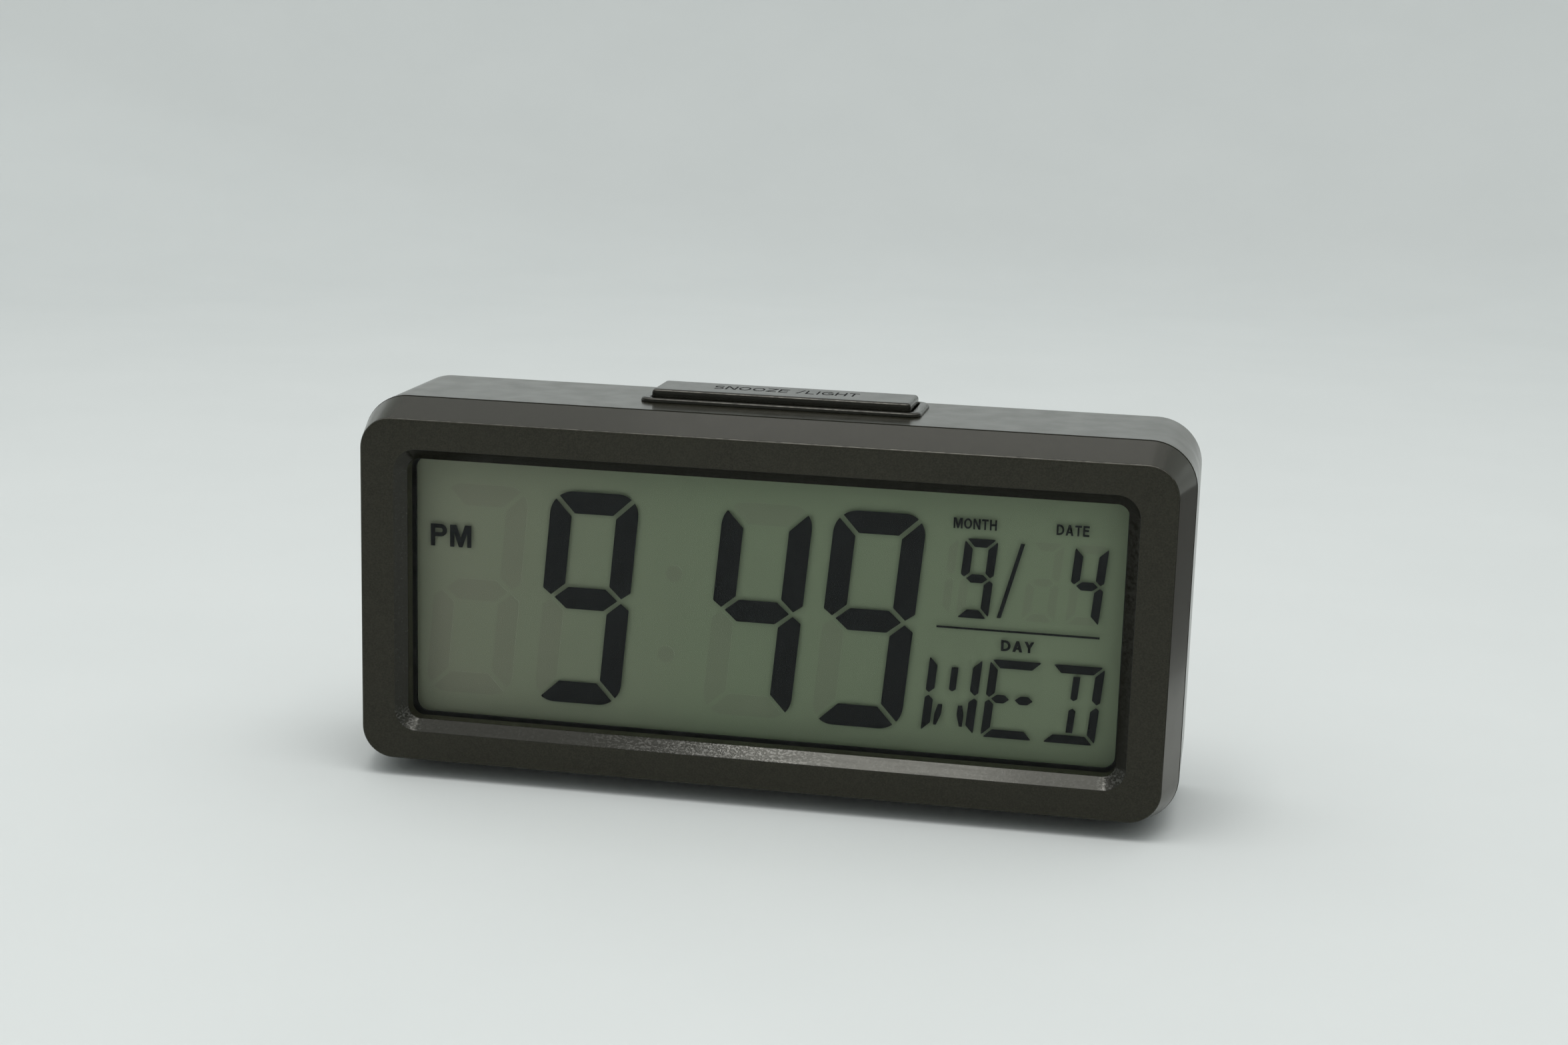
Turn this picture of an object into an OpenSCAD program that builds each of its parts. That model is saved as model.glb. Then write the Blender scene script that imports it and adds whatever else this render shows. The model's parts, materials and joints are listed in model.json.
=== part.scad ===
// Desk alarm clock with a large liquid crystal display.
// Millimetres. +X is to the right seen from the front, the front faces -Y, +Z is up.
// The origin is the bottom centre of the whole clock, on the plane that the feet stand on.

/* [Case] */
// Width of the case
case_w = 150; // [146:1:160]
// Height of the case without its feet
case_h = 68.3; // [67:0.1:72]
// Depth of the case from the front face to the back face
case_d = 35.7; // [35.5:0.1:38]
// Depth of the parting line between the bezel and the rear case
parting_y = 9.57; // [9.2:0.01:9.9]
// How far the bezel narrows from the parting line to the front face
taper = 2.745; // [1.5:0.005:3]
// Corner radius of the case at the parting line
corner_r = 8.4; // [8:0.1:9]
// Thickness of the moulded walls
wall = 2.2; // [2:0.1:2.3]
// Height of the rubber feet
foot_h = 0.8; // [0.5:0.1:1.5]

/* [Display] */
// Width of the window opening
window_w = 128.2; // [126:0.1:128.4]
// Height of the window opening
window_h = 48.2; // [47:0.1:48.4]
// Width of the sloping border round the window
bevel = 2; // [1:0.1:2.2]
// Width of a large digit
digit_w = 16.27; // [14:0.01:17]
// Height of a large digit
digit_h = 39.3; // [36:0.1:40]
// Stroke width of a large digit
digit_stroke = 4; // [3:0.1:4.4]
// Lean of the digits, in degrees
digit_lean = 5; // [0:0.5:8]

/* [Snooze button] */
// Length of the snooze button
snooze_w = 47.4; // [44:0.1:48]
// Depth of the snooze button from front to back
snooze_d = 11.1; // [10:0.1:11.4]
// How far the snooze button stands above the case
snooze_rise = 2.25; // [2:0.05:3]
// How far the snooze button travels
snooze_travel = 1; // [0.6:0.1:1]

/* [Rear controls] */
// Distance between neighbouring keys
key_pitch = 18; // [17:0.1:18.5]
// Width of a key
key_w = 9; // [8:0.1:9.4]
// Height of a key
key_h = 5; // [4.5:0.1:6]
// How far a key stands out of the back face
key_proud = 1.2; // [1:0.1:2]
// How far a key travels
key_travel = 0.8; // [0.5:0.1:0.8]
// How far the alarm slide travels
slide_travel = 3; // [2:0.1:3]

/* [Batteries] */
// Diameter of a cell
cell_d = 10.5; // [10:0.1:10.5]
// Length of a cell with its raised contact
cell_l = 44.5; // [44:0.1:44.5]

/* [Hidden] */
$fn = 48;

// Colours
PLASTIC = [0.17, 0.165, 0.15];
DARK = [0.08, 0.08, 0.08];
STEEL = [0.75, 0.75, 0.74];
BRASS = [0.8, 0.66, 0.32];
BOARD = [0.13, 0.36, 0.2];
CLEAR = [0.85, 0.9, 0.92, 0.35];
WHITE = [0.9, 0.9, 0.87];

// Depths and heights below are measured from the front face and from the middle of the case
eps = 0.01;
half_w = case_w / 2;
half_h = case_h / 2;
face_w = case_w - 2 * taper;
face_h = case_h - 2 * taper;
face_r = corner_r - taper;
back_in = case_d - wall;
fit_gap = 0.15;
back_edge = 1.2;

// Front bezel
bevel_d = 1.96;
lip_d = 4.4;
plate_t = 2.2;
tongue_t = 1.2;
tongue_d = 1.6;
tongue_gap = 0.1;
cavity_w = case_w - 2 * wall - 2 * tongue_gap - 2 * tongue_t;
cavity_h = case_h - 2 * wall - 2 * tongue_gap - 2 * tongue_t;
cavity_r = corner_r - wall - tongue_gap - tongue_t;
cavity_slope = 1.1;
window_r = 2.2;

// Display stack
lens_w = window_w + 3.8;
lens_h = window_h + 3.8;
lens_r = 3;
lens_t = 1.2;
rim_t = 1.15;
gasket_t = 0.6;
gasket_overlap = 0.3;
polarizer_t = 0.2;
glass_t = 0.7;
cell_gap = 0.1;
gasket_y = lip_d + lens_t;
polarizer_y = gasket_y + gasket_t;
front_glass_y = polarizer_y + polarizer_t;
segment_y = front_glass_y + glass_t;
rear_glass_y = segment_y + cell_gap;
transflector_y = rear_glass_y + glass_t;
glass_w = window_w + 1.8;
glass_h = window_h + 1.8;
ledge = 1.8;
guide_y = transflector_y + polarizer_t + 0.05;
guide_t = 2.9;
guide_w = 124.4;
guide_h = 48.4;
led_pitch = 15;
led_size = 3.2;
led_depth = 1.5;
sheet_t = 0.2;
holder_back_y = guide_y + guide_t + sheet_t + 0.05;
holder_t = 1.3;
holder_w = glass_w + 2.8;
holder_low = -glass_h / 2 - ledge - 1.3;
holder_high = glass_h / 2 + 1.5;
holder_r = 3.5;
holder_post_x = 50;
holder_post_z = 18;
zebra_w = 116;
zebra_h = 1.2;
zebra_z = -glass_h / 2 - 1;

// Boards
board_y = 14;
board_t = 1.6;
board_back = board_y + board_t;
board_w = 142.8;
board_top = 25;
board_low = -24;
tail_w = 126;
tail_low = -27.6;
board_post_x = half_w - 5.6;
board_post_z = 14;
board_post_r = 2.2;
blob_x = -14;
blob_z = 8;
blob_r = 7;
blob_h = 1.8;
crystal_x = -24;
crystal_z = 16;
crystal_r = 1;
crystal_l = 6;
chip_x = 12;
chip_z = 17;
chip_pitch = 4;
chip_size = [2, 0.8, 1.25];
capacitor_x = 46;
capacitor_z = -14;
capacitor_r = 2.5;
capacitor_h = 5;

// Case screws
post_x = half_w - 6.7;
post_z = half_h - 5.95;
post_r = 2.6;
boss_r = 3.7;
boss_y = 20;
screw_r = 1.2;
screw_head_r = 2.4;
screw_head_t = 1.6;
screw_seat_y = 27;
screw_tip_y = 13;
clear_r = 1.45;
counterbore_r = 2.7;
pilot_depth = 8;
small_screw_r = 0.9;
small_head_r = 1.8;
small_head_t = 1;

// Snooze button and its surround
snooze_y = 24.3;
snooze_gap = 0.25;
surround_lap_x = 1.7;
surround_lap_y = 1.3;
surround_r = 1.6;
surround_h = 0.8;
surround_rim = 0.95;
collar_low = half_h - wall - 0.75;
lip_over = 1;
lip_top = collar_low - 0.1;
lip_t = 1.2;
case_slot_w = snooze_w + 2 * snooze_gap + 2 * surround_rim + 0.2;
case_slot_d = snooze_d + 2 * snooze_gap + 2 * surround_rim + 0.2;
case_slot_r = 1.5;
snooze_r = 0.8;
snooze_hole_w = snooze_w + 2 * snooze_gap;
snooze_hole_d = snooze_d + 2 * snooze_gap;
snooze_wall = 1.4;
snooze_stem_r = 2.4;
shelf_z = 20.2;
shelf_t = 1.6;
shelf_top = shelf_z + shelf_t;
shelf_w = 52;
shelf_front = 18.5;
snooze_board_w = 26;
snooze_board_d = 11;
snooze_screw_x = 9.1;
switch_size = 6;
switch_h = 3.1;
switch_z = shelf_top + board_t;
plunger_r = 1.7;
plunger_bore_r = 1.76;
plunger_sink = 1.1;
plunger_low = switch_z + switch_h - plunger_sink;
plunger_high = switch_z + switch_h + 1.1;
spring_x = 18.5;
spring_coil_r = 2.2;
spring_wire_r = 0.25;
spring_turns = 5;
spring_post_r = 1.4;
spring_post_h = 3;

// Keys
key_z = 13;
key_count = 4;
key_xs = [for (i = [0:key_count - 1]) (i - (key_count - 1) / 2) * key_pitch];
key_r = 1.2;
key_gap = 0.2;
key_flange = 0.9;
key_flange_y = back_in - 0.1;
key_flange_t = 1.1;
key_board_t = 1.6;
key_board_back = 28.2;
key_board_y = key_board_back - key_board_t;
key_board_left = -36;
key_board_right = 54;
key_board_low = 6.5;
key_board_high = 19.5;
key_post_xs = [-18, 18, 36];
key_post_r = 2.2;
slide_x = 45;
slide_w = 10;
slide_h = 4.4;
slide_t = 3;
slide_knob_w = 3;
slide_knob_h = 2;
slide_proud = 0.9;
slide_gap_x = 0.4;
slide_gap_z = 0.3;

// Battery bay
bay_z = -12.2;
cell_pitch = 11.5;
cell_r = cell_d / 2;
cell_y = 27.6;
nub_l = 0.8;
nub_r = 1.9;
contact_x = 23.9;
contact_t = 0.4;
contact_size = 9;
bay_half_w = contact_x + contact_t;
bay_low = bay_z - 11.3;
bay_high = bay_z + 11.3;
bay_front = 21.9;
bay_wall = 1.5;
door_half_w = 25.3;
door_t = 1.8;
door_y = case_d - door_t;
door_gap = 0.2;
hinge_r = 1;
hinge_y = case_d - hinge_r;
hinge_z = bay_low + 0.2;
door_high = bay_high + 0.3;
pin_r = 0.6;
pin_bore_r = 0.66;
pin_l = 1.3;
tail_slot = 1.2;
tail_slot_h = 3;
tail_y = bay_front - 2 * bay_wall;
tail_x = contact_x + contact_t / 2;
scoop_r = 5;
scoop_depth = 0.9;

// Buzzer
buzzer_x = -52;
buzzer_z = -8;
buzzer_r = 10.2;
buzzer_ring_r = 12;
buzzer_seat_r = 9.2;
buzzer_seat_y = 31.5;
buzzer_front = 29.4;
buzzer_hole_r = 0.8;
buzzer_ring_pitch = 2.6;
buzzer_t = 0.3;
ceramic_r = 7;
ceramic_t = 0.2;
retainer_bore_r = 8.5;

// Wires
wire_r = 0.6;
thin_wire_r = 0.4;
ribbon_w = 12;
ribbon_t = 0.3;
ribbon_z = 9;
ribbon_wave = 1.5;

// Rubber feet
foot_r = 4;
foot_x = 60;
foot_ys = [14.5, 30];

// Display figures: centre across the display, then the lit bars
digit_gap = 0.86;
digit_z = -0.74;
digits = [[-32.32, "abcdfg"], [-0.83, "bcfg"], [19.25, "abcdfg"]];
small_h = 14.25;
small_w = 5.74;
small_stroke = 1.5;
small_gap = 0.5;
small_round = 0.9;
small_z = 8.2;
small_digits = [[38.1, "abcdfg"], [57.24, "bcfg"]];
day_w = 9.3;
day_z = -13.19;
day_letters = [[34.57, "fbeciv"], [45.25, "adefhj"], [55.93, "abcdil"]];
rule_x = 45.65;
rule_w = 28.5;
rule_z = -0.86;
rule_t = 0.36;
slash_x = 44.05;
slash_h = 13.5;
slash_t = 0.72;
slash_lean = 15;

module placed() {
    translate([0, -(case_d + key_proud) / 2, half_h + foot_h]) children();
}

// Copies children to the four corners x, z
module corners(x, z) {
    for (sx = [-1, 1], sz = [-1, 1]) translate([sx * x, 0, sz * z]) children();
}

module rounded(w, h, r) {
    square([w - 2 * r, h], center = true);
    square([w, h - 2 * r], center = true);
    for (sx = [-1, 1], sy = [-1, 1])
        translate([sx * (w / 2 - r), sy * (h / 2 - r)]) circle(r = r);
}

// Extrudes an outline drawn in X and Z between two depths
module slab(y0, y1) {
    translate([0, y1, 0]) rotate([90, 0, 0]) linear_extrude(y1 - y0) children();
}

// Cylinder along Y between two depths
module rod(r, y0, y1) {
    translate([0, y0, 0]) rotate([-90, 0, 0]) cylinder(r = r, h = y1 - y0);
}

// Block between two opposite corners
module block(low, high) {
    translate(low) cube(high - low);
}

// Rounded slab that grows by grow on every side from depth y0 to depth y1
module tapered(w, h, r, grow, y0, y1) {
    flat_w = w - 2 * r;
    flat_h = h - 2 * r;
    corners(flat_w / 2, flat_h / 2)
        translate([0, y0, 0]) rotate([-90, 0, 0]) cylinder(h = y1 - y0, r1 = r, r2 = r + grow);
    rotate([90, 0, 90]) linear_extrude(flat_w, center = true)
        polygon([[y0, -h / 2], [y1, -h / 2 - grow], [y1, h / 2 + grow], [y0, h / 2]]);
    linear_extrude(flat_h, center = true)
        polygon([[-w / 2, y0], [w / 2, y0], [w / 2 + grow, y1], [-w / 2 - grow, y1]]);
}

// Screw along Y: the head lies in front of or behind the seat, the shank runs to the tip
module screw(shank_r, head_r, head_t, seat_y, tip_y) {
    head_y = seat_y + sign(seat_y - tip_y) * head_t;
    difference() {
        rod(head_r, min(seat_y, head_y), max(seat_y, head_y));
        for (turn = [0, 90])
            rotate([0, turn, 0])
                translate([0, head_y, 0]) cube([head_r * 1.1, head_t, head_r * 0.24], center = true);
    }
    rod(shank_r, min(seat_y, tip_y), max(seat_y, tip_y));
}

// Round tube swept along a list of points
function unit(v) = v / norm(v);
function heading(p, i) = unit(p[min(i + 1, len(p) - 1)] - p[max(i - 1, 0)]);
function side_of(d) = unit(cross(d, abs(d[2]) < 0.9 ? [0, 0, 1] : [1, 0, 0]));
module tube(p, r, sides) {
    rings = len(p);
    points = [for (i = [0:rings - 1]) let (d = heading(p, i), u = side_of(d), v = cross(d, u))
        for (k = [0:sides - 1]) p[i] + r * (cos(360 * k / sides) * u + sin(360 * k / sides) * v)];
    walls = [for (i = [0:rings - 2]) for (k = [0:sides - 1])
        let (n = (k + 1) % sides, a = i * sides, b = a + sides)
        for (t = [[a + k, a + n, b + n], [a + k, b + n, b + k]]) t];
    start = [for (k = [sides - 1:-1:0]) k];
    finish = [for (k = [0:sides - 1]) (rings - 1) * sides + k];
    polyhedron(points = points, faces = concat([start], walls, [finish]), convexity = 4);
}

// Points of a helix about Z from the origin up to height h
function helix(r0, r1, h, turns, steps) = [for (i = [0:turns * steps]) let (f = i / (turns * steps))
    [(r0 + (r1 - r0) * f) * cos(360 * i / steps), (r0 + (r1 - r0) * f) * sin(360 * i / steps), h * f]];

// ---------- case ----------

module front_bezel() placed() color(PLASTIC) {
    difference() {
        union() {
            difference() {
                union() {
                    tapered(face_w, face_h, face_r, taper, 0, parting_y);
                    slab(parting_y - 1, parting_y + tongue_d)
                        rounded(cavity_w + 2 * tongue_t, cavity_h + 2 * tongue_t, cavity_r + tongue_t);
                }
                tapered(cavity_w - 2 * cavity_slope, cavity_h - 2 * cavity_slope,
                    cavity_r - cavity_slope, cavity_slope, plate_t, parting_y);
                slab(parting_y - eps, parting_y + tongue_d + 1) rounded(cavity_w, cavity_h, cavity_r);
            }
            slab(plate_t - 1, polarizer_y)
                rounded(lens_w + 2 * (rim_t + fit_gap), lens_h + 2 * (rim_t + fit_gap), lens_r + rim_t);
            corners(post_x, post_z) rod(post_r, plate_t - 1, boss_y);
            corners(board_post_x, board_post_z) rod(board_post_r, plate_t - 1, board_y);
        }
        tapered(window_w + 3 * bevel, window_h + 3 * bevel, window_r + 1.5 * bevel, -1.5 * bevel,
            -bevel_d / 2, bevel_d);
        slab(bevel_d - eps, lip_d + 1) rounded(window_w, window_h, window_r);
        slab(lip_d, polarizer_y + 1)
            rounded(lens_w + 2 * fit_gap, lens_h + 2 * fit_gap, lens_r + fit_gap);
        corners(post_x, post_z) rod(screw_r, boss_y - pilot_depth, boss_y + 1);
        corners(board_post_x, board_post_z) rod(small_screw_r, board_y - pilot_depth, board_y + 1);
    }
}

module key_outline(grow) {
    rounded(key_w + 2 * grow, key_h + 2 * grow, key_r + grow);
}

module buzzer_holes() {
    rod(buzzer_hole_r, buzzer_seat_y, case_d + 1);
    for (ring = [1, 2], k = [0:6 * ring - 1])
        rotate([0, k * 60 / ring, 0]) translate([ring * buzzer_ring_pitch, 0, 0])
            rod(buzzer_hole_r, buzzer_seat_y, case_d + 1);
}

module case_shell() difference() {
    union() {
        slab(parting_y, case_d - back_edge) rounded(case_w, case_h, corner_r);
        tapered(case_w, case_h, corner_r, -back_edge, case_d - back_edge, case_d);
    }
    slab(parting_y - 1, back_in) rounded(case_w - 2 * wall, case_h - 2 * wall, corner_r - wall);
    translate([0, snooze_y, half_h - 2 * wall])
        linear_extrude(3 * wall) rounded(case_slot_w, case_slot_d, case_slot_r);
}

module battery_bay() {
    difference() {
        block([-bay_half_w - bay_wall, bay_front - bay_wall, bay_low - bay_wall],
            [bay_half_w + bay_wall, back_in + eps, bay_high + bay_wall]);
        block([-bay_half_w, bay_front, bay_low], [bay_half_w, case_d, bay_high]);
        for (z = [-1, 1])
            translate([contact_x - tail_slot, tail_y, bay_z + (z * cell_pitch - tail_slot_h) / 2])
                cube([tail_slot + contact_t, 2 * bay_wall + 1, tail_slot_h]);
    }
}

module rear_case() placed() color(PLASTIC) {
    difference() {
        union() {
            case_shell();
            battery_bay();
            corners(post_x, post_z) rod(boss_r, boss_y, back_in + eps);
            for (x = key_post_xs) translate([x, 0, key_z]) rod(key_post_r, key_board_back, back_in + eps);
            block([-shelf_w / 2, shelf_front, shelf_z], [shelf_w / 2, back_in + eps, shelf_top]);
            for (x = [-1, 1]) translate([x * spring_x, snooze_y, shelf_top - eps])
                cylinder(r = spring_post_r, h = spring_post_h);
            translate([buzzer_x, 0, buzzer_z]) rod(buzzer_ring_r, buzzer_front, back_in + eps);
        }
        corners(post_x, post_z) {
            rod(clear_r, boss_y - 1, screw_seat_y + 1);
            rod(counterbore_r, screw_seat_y, case_d + 1);
        }
        for (x = key_xs) translate([x, 0, key_z]) slab(back_in - 1, case_d + 1) key_outline(key_gap);
        for (x = key_post_xs)
            translate([x, 0, key_z]) rod(small_screw_r, key_board_back - 1, key_board_back + 4);
        translate([slide_x, 0, key_z]) slab(back_in - 1, case_d + 1)
            square([slide_knob_w + slide_travel + 2 * slide_gap_x, slide_knob_h + 2 * slide_gap_z],
                center = true);
        block([-door_half_w - door_gap, back_in, hinge_z - hinge_r - door_gap],
            [door_half_w + door_gap, case_d + 1, door_high + door_gap]);
        translate([0, hinge_y, hinge_z]) rotate([0, 90, 0])
            cylinder(r = pin_bore_r, h = 2 * (door_half_w + pin_l + 0.2), center = true);
        translate([0, 0, door_high]) rod(scoop_r, case_d - scoop_depth, case_d + 1);
        translate([buzzer_x, 0, buzzer_z]) {
            rod(buzzer_r + 0.1, buzzer_front - 1, buzzer_seat_y);
            rod(buzzer_seat_r, buzzer_seat_y - eps, back_in);
            buzzer_holes();
        }
        for (x = [-1, 1]) translate([x * snooze_screw_x, snooze_y, shelf_z - 1])
            cylinder(r = small_screw_r, h = shelf_t + 2);
    }
}

module battery_door() placed() color(PLASTIC) {
    block([-door_half_w, door_y, hinge_z], [door_half_w, case_d, door_high]);
    translate([0, hinge_y, hinge_z]) rotate([0, 90, 0]) {
        cylinder(r = hinge_r, h = 2 * door_half_w, center = true);
        cylinder(r = pin_r, h = 2 * (door_half_w + pin_l), center = true);
    }
}

module snooze_surround() placed() color(PLASTIC) translate([0, snooze_y, 0]) difference() {
    union() {
        translate([0, 0, half_h]) linear_extrude(surround_h)
            rounded(snooze_hole_w + 2 * surround_lap_x, snooze_hole_d + 2 * surround_lap_y, surround_r);
        translate([0, 0, collar_low]) linear_extrude(half_h - collar_low + eps)
            rounded(snooze_hole_w + 2 * surround_rim, snooze_hole_d + 2 * surround_rim, surround_r - 0.2);
    }
    translate([0, 0, collar_low - 1]) linear_extrude(half_h)
        rounded(snooze_hole_w, snooze_hole_d, snooze_r + 0.1);
}

module snooze_button() placed() color(PLASTIC) translate([0, snooze_y, 0]) {
    lip_low = lip_top - lip_t;
    top = half_h + snooze_rise;
    stem_top = top - snooze_wall / 2;
    difference() {
        translate([0, 0, lip_low]) {
            linear_extrude(top - lip_low) rounded(snooze_w, snooze_d, snooze_r);
            linear_extrude(lip_t) rounded(snooze_w + 2 * lip_over, snooze_d + 2 * lip_over, snooze_r + 0.4);
        }
        translate([0, 0, lip_low - 1]) linear_extrude(top - lip_low + 1 - snooze_wall)
            rounded(snooze_w - 2 * snooze_wall, snooze_d - 2 * snooze_wall, snooze_r - 0.2);
    }
    translate([0, 0, plunger_high]) cylinder(r = snooze_stem_r, h = stem_top - plunger_high);
    for (x = [-1, 1]) translate([x * spring_x, 0, lip_low])
        cylinder(r = spring_coil_r + 0.9, h = stem_top - lip_low);
}

module rubber_feet() placed() color(DARK)
    for (sx = [-1, 1], y = foot_ys)
        translate([sx * foot_x, y, -half_h - foot_h]) cylinder(r = foot_r, h = foot_h);

module case_screws() placed() color(STEEL)
    corners(post_x, post_z) screw(screw_r, screw_head_r, screw_head_t, screw_seat_y, screw_tip_y);

// ---------- display ----------

module display_window() placed() color(CLEAR)
    slab(lip_d, lip_d + lens_t) rounded(lens_w, lens_h, lens_r);

module window_gasket() placed() color(DARK)
    slab(gasket_y, polarizer_y) difference() {
        rounded(lens_w - 0.2, lens_h - 0.2, lens_r - 0.1);
        rounded(window_w - 2 * gasket_overlap, window_h - 2 * gasket_overlap, window_r);
    }

module front_polarizer() placed() color(CLEAR)
    slab(polarizer_y, front_glass_y) square([glass_w - 0.6, glass_h - 0.6], center = true);

module lcd_front_glass() placed() color(CLEAR)
    block([-glass_w / 2, front_glass_y, -glass_h / 2 - ledge], [glass_w / 2, segment_y, glass_h / 2]);

module lcd_seal() placed() color(DARK)
    slab(segment_y, rear_glass_y) difference() {
        square([glass_w - 0.6, glass_h - 0.6], center = true);
        square([glass_w - 1.6, glass_h - 1.6], center = true);
    }

module lcd_rear_glass() placed() color(CLEAR)
    slab(rear_glass_y, transflector_y) square([glass_w, glass_h], center = true);

module transflector() placed() color([0.5, 0.56, 0.44])
    slab(transflector_y, transflector_y + polarizer_t)
        square([glass_w - 0.8, glass_h - 0.8], center = true);

// Outlines of a seven-segment figure with half width w, half height h, stroke t, gap g, corner radius r
function lean(p, angle) = [for (q = p) [q[0] + tan(angle) * q[1], q[1]]];
function flip(p, sx, sz) = [for (q = p) [sx * q[0], sz * q[1]]];
function arc(c, r, from, to, steps) =
    [for (i = [0:steps]) let (a = from + (to - from) * i / steps) c + r * [cos(a), sin(a)]];
function mitre_u(r, k) = (k + sqrt(2 * r * r - k * k)) / 2;
function bar_top(w, h, t, g, r) = let (k = g / sqrt(2), u = mitre_u(r, k), a = atan2(u, k - u))
    concat([[w - t - k, h - t], [-w + t + k, h - t]], arc([-w + r, h - r], r, a, 90, 4),
        arc([w - r, h - r], r, 90, 180 - a, 4));
function bar_side(w, h, t, g, r) = let (k = g / sqrt(2), u = mitre_u(r, k), a = atan2(u - k, -u),
        tip = 0.4 * t, low = g / 2)
    concat([[-w + t, h - t - k], [-w + t, low + 0.54 * t], [-w + tip, low], [-w, low + 0.3 * t]],
        arc([-w + r, h - r], r, 180, a, 4));
function bar_mid(x0, x1, t) = [[x0, 0], [x0 + 0.6 * t, t / 2], [x1 - 0.6 * t, t / 2], [x1, 0],
    [x1 - 0.6 * t, -t / 2], [x0 + 0.6 * t, -t / 2]];
function bar_end(w, t, g) = w - 0.4 * t - 0.8 * g;
function bar_slope(h, t) = let (stem = 0.4 * t, mid = -h / 2)
    [[2.3 * stem, mid / 2], [3.6 * stem, mid / 2], [4.3 * stem, mid], [4.3 * stem, t - h],
    [3.4 * stem, t - h], [2.3 * stem, mid]];

module leaning(points) polygon(lean(points, digit_lean));

// Figure made of bars: a top, b and c right, d bottom, e and f left, g whole middle,
// h and j half middles, i and l upright middles, v the two inner strokes of a W
module figure(w, h, t, g, r, bars) {
    x = bar_end(w, t, g);
    stem = 0.4 * t;
    if (search("a", bars)) leaning(bar_top(w, h, t, g, r));
    if (search("d", bars)) leaning(flip(bar_top(w, h, t, g, r), 1, -1));
    for (s = [["f", 1, 1], ["b", -1, 1], ["e", 1, -1], ["c", -1, -1]]) if (search(s[0], bars))
        leaning(flip(bar_side(w, h, t, g, r), s[1], s[2]));
    if (search("g", bars)) leaning(bar_mid(-x, x, t));
    for (s = [["h", 1], ["j", -1]]) if (search(s[0], bars))
        leaning(flip(bar_mid(-x, -g, t), s[1], 1));
    for (s = [["i", 1], ["l", -1]]) if (search(s[0], bars))
        leaning(flip([[-stem, h - t - g], [-stem, 2.2 * g], [0, 1.4 * g], [stem, 2.2 * g],
            [stem, h - t - g]], 1, s[1]));
    for (s = [1, -1]) if (search("v", bars)) leaning(flip(bar_slope(h, t), s, 1));
}

module lcd_segments() placed() color([0.13, 0.14, 0.17]) slab(segment_y, rear_glass_y) {
    for (d = digits) translate([d[0], digit_z])
        figure(digit_w / 2, digit_h / 2, digit_stroke, digit_gap, digit_stroke, d[1]);
    for (d = small_digits) translate([d[0], small_z])
        figure(small_w / 2, small_h / 2, small_stroke, small_gap, small_round, d[1]);
    for (d = day_letters) translate([d[0], day_z])
        figure(day_w / 2, small_h / 2, small_stroke, small_gap, small_round, d[1]);
    translate([rule_x, rule_z]) square([rule_w, rule_t], center = true);
    translate([slash_x, small_z])
        polygon(lean([for (c = [[-1, -1], [1, -1], [1, 1], [-1, 1]])
            [c[0] * slash_t / 2, c[1] * slash_h / 2]], slash_lean));
}

module light_guide() placed() color([0.92, 0.95, 0.92, 0.5])
    block([-guide_w / 2, guide_y, -guide_h / 2], [guide_w / 2, guide_y + guide_t, guide_h / 2]);

module backlight_leds() placed() color([0.95, 0.93, 0.7])
    for (z = [-1, 0, 1]) translate([guide_w / 2 + 0.1, guide_y + 0.3, z * led_pitch - led_size / 2])
        cube([led_depth, guide_t - 0.6, led_size]);

module reflector_sheet() placed() color(WHITE)
    slab(guide_y + guide_t, guide_y + guide_t + sheet_t) square([guide_w, guide_h], center = true);

module lcd_holder() placed() color(WHITE) {
    mid_z = (holder_low + holder_high) / 2;
    difference() {
        union() {
            translate([0, 0, mid_z]) slab(polarizer_y, holder_back_y + holder_t)
                rounded(holder_w, holder_high - holder_low, holder_r);
            for (x = [-1, 0, 1], z = [-1, 1])
                translate([x * holder_post_x, 0, z * holder_post_z]) rod(1.5, holder_back_y, board_y);
        }
        block([-glass_w / 2 - 0.1, polarizer_y - 1, -glass_h / 2 - ledge - 0.1],
            [glass_w / 2 + 0.1, segment_y, glass_h / 2 + 0.1]);
        block([-glass_w / 2 - 0.1, segment_y - eps, -glass_h / 2 - 0.1],
            [glass_w / 2 + 0.1, transflector_y + polarizer_t, glass_h / 2 + 0.1]);
        block([-guide_w / 2 - 0.1, transflector_y, -guide_h / 2 - 0.1],
            [guide_w / 2 + 1.8, holder_back_y, guide_h / 2 + 0.1]);
        block([-zebra_w / 2 - 0.2, segment_y - eps, zebra_z - zebra_h / 2 - 0.2],
            [zebra_w / 2 + 0.2, board_y, -glass_h / 2 - 0.1 + eps]);
    }
}

module zebra_strip() placed() color(DARK)
    block([-zebra_w / 2, segment_y, zebra_z - zebra_h / 2], [zebra_w / 2, board_y, zebra_z + zebra_h / 2]);

// ---------- boards ----------

module main_board() placed() color(BOARD) slab(board_y, board_back) difference() {
    union() {
        translate([-board_w / 2, board_low]) square([board_w, board_top - board_low]);
        translate([-tail_w / 2, tail_low]) square([tail_w, board_low - tail_low + eps]);
    }
    for (sx = [-1, 1], sz = [-1, 1])
        translate([sx * board_post_x, sz * board_post_z]) circle(r = small_screw_r + 0.1);
}

// Low dome of resin: the cap of a sphere that stands blob_h above the board
module controller_blob() placed() color(DARK) translate([blob_x, board_back, blob_z]) difference() {
    translate([0, blob_h - blob_r, 0]) sphere(r = blob_r, $fn = 96);
    block([-blob_r - 1, -2 * blob_r, -blob_r - 1], [blob_r + 1, 0, blob_r + 1]);
}

module watch_crystal() placed() color(STEEL)
    translate([crystal_x, board_back + crystal_r, crystal_z]) rotate([0, 90, 0])
        cylinder(r = crystal_r, h = crystal_l);

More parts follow.
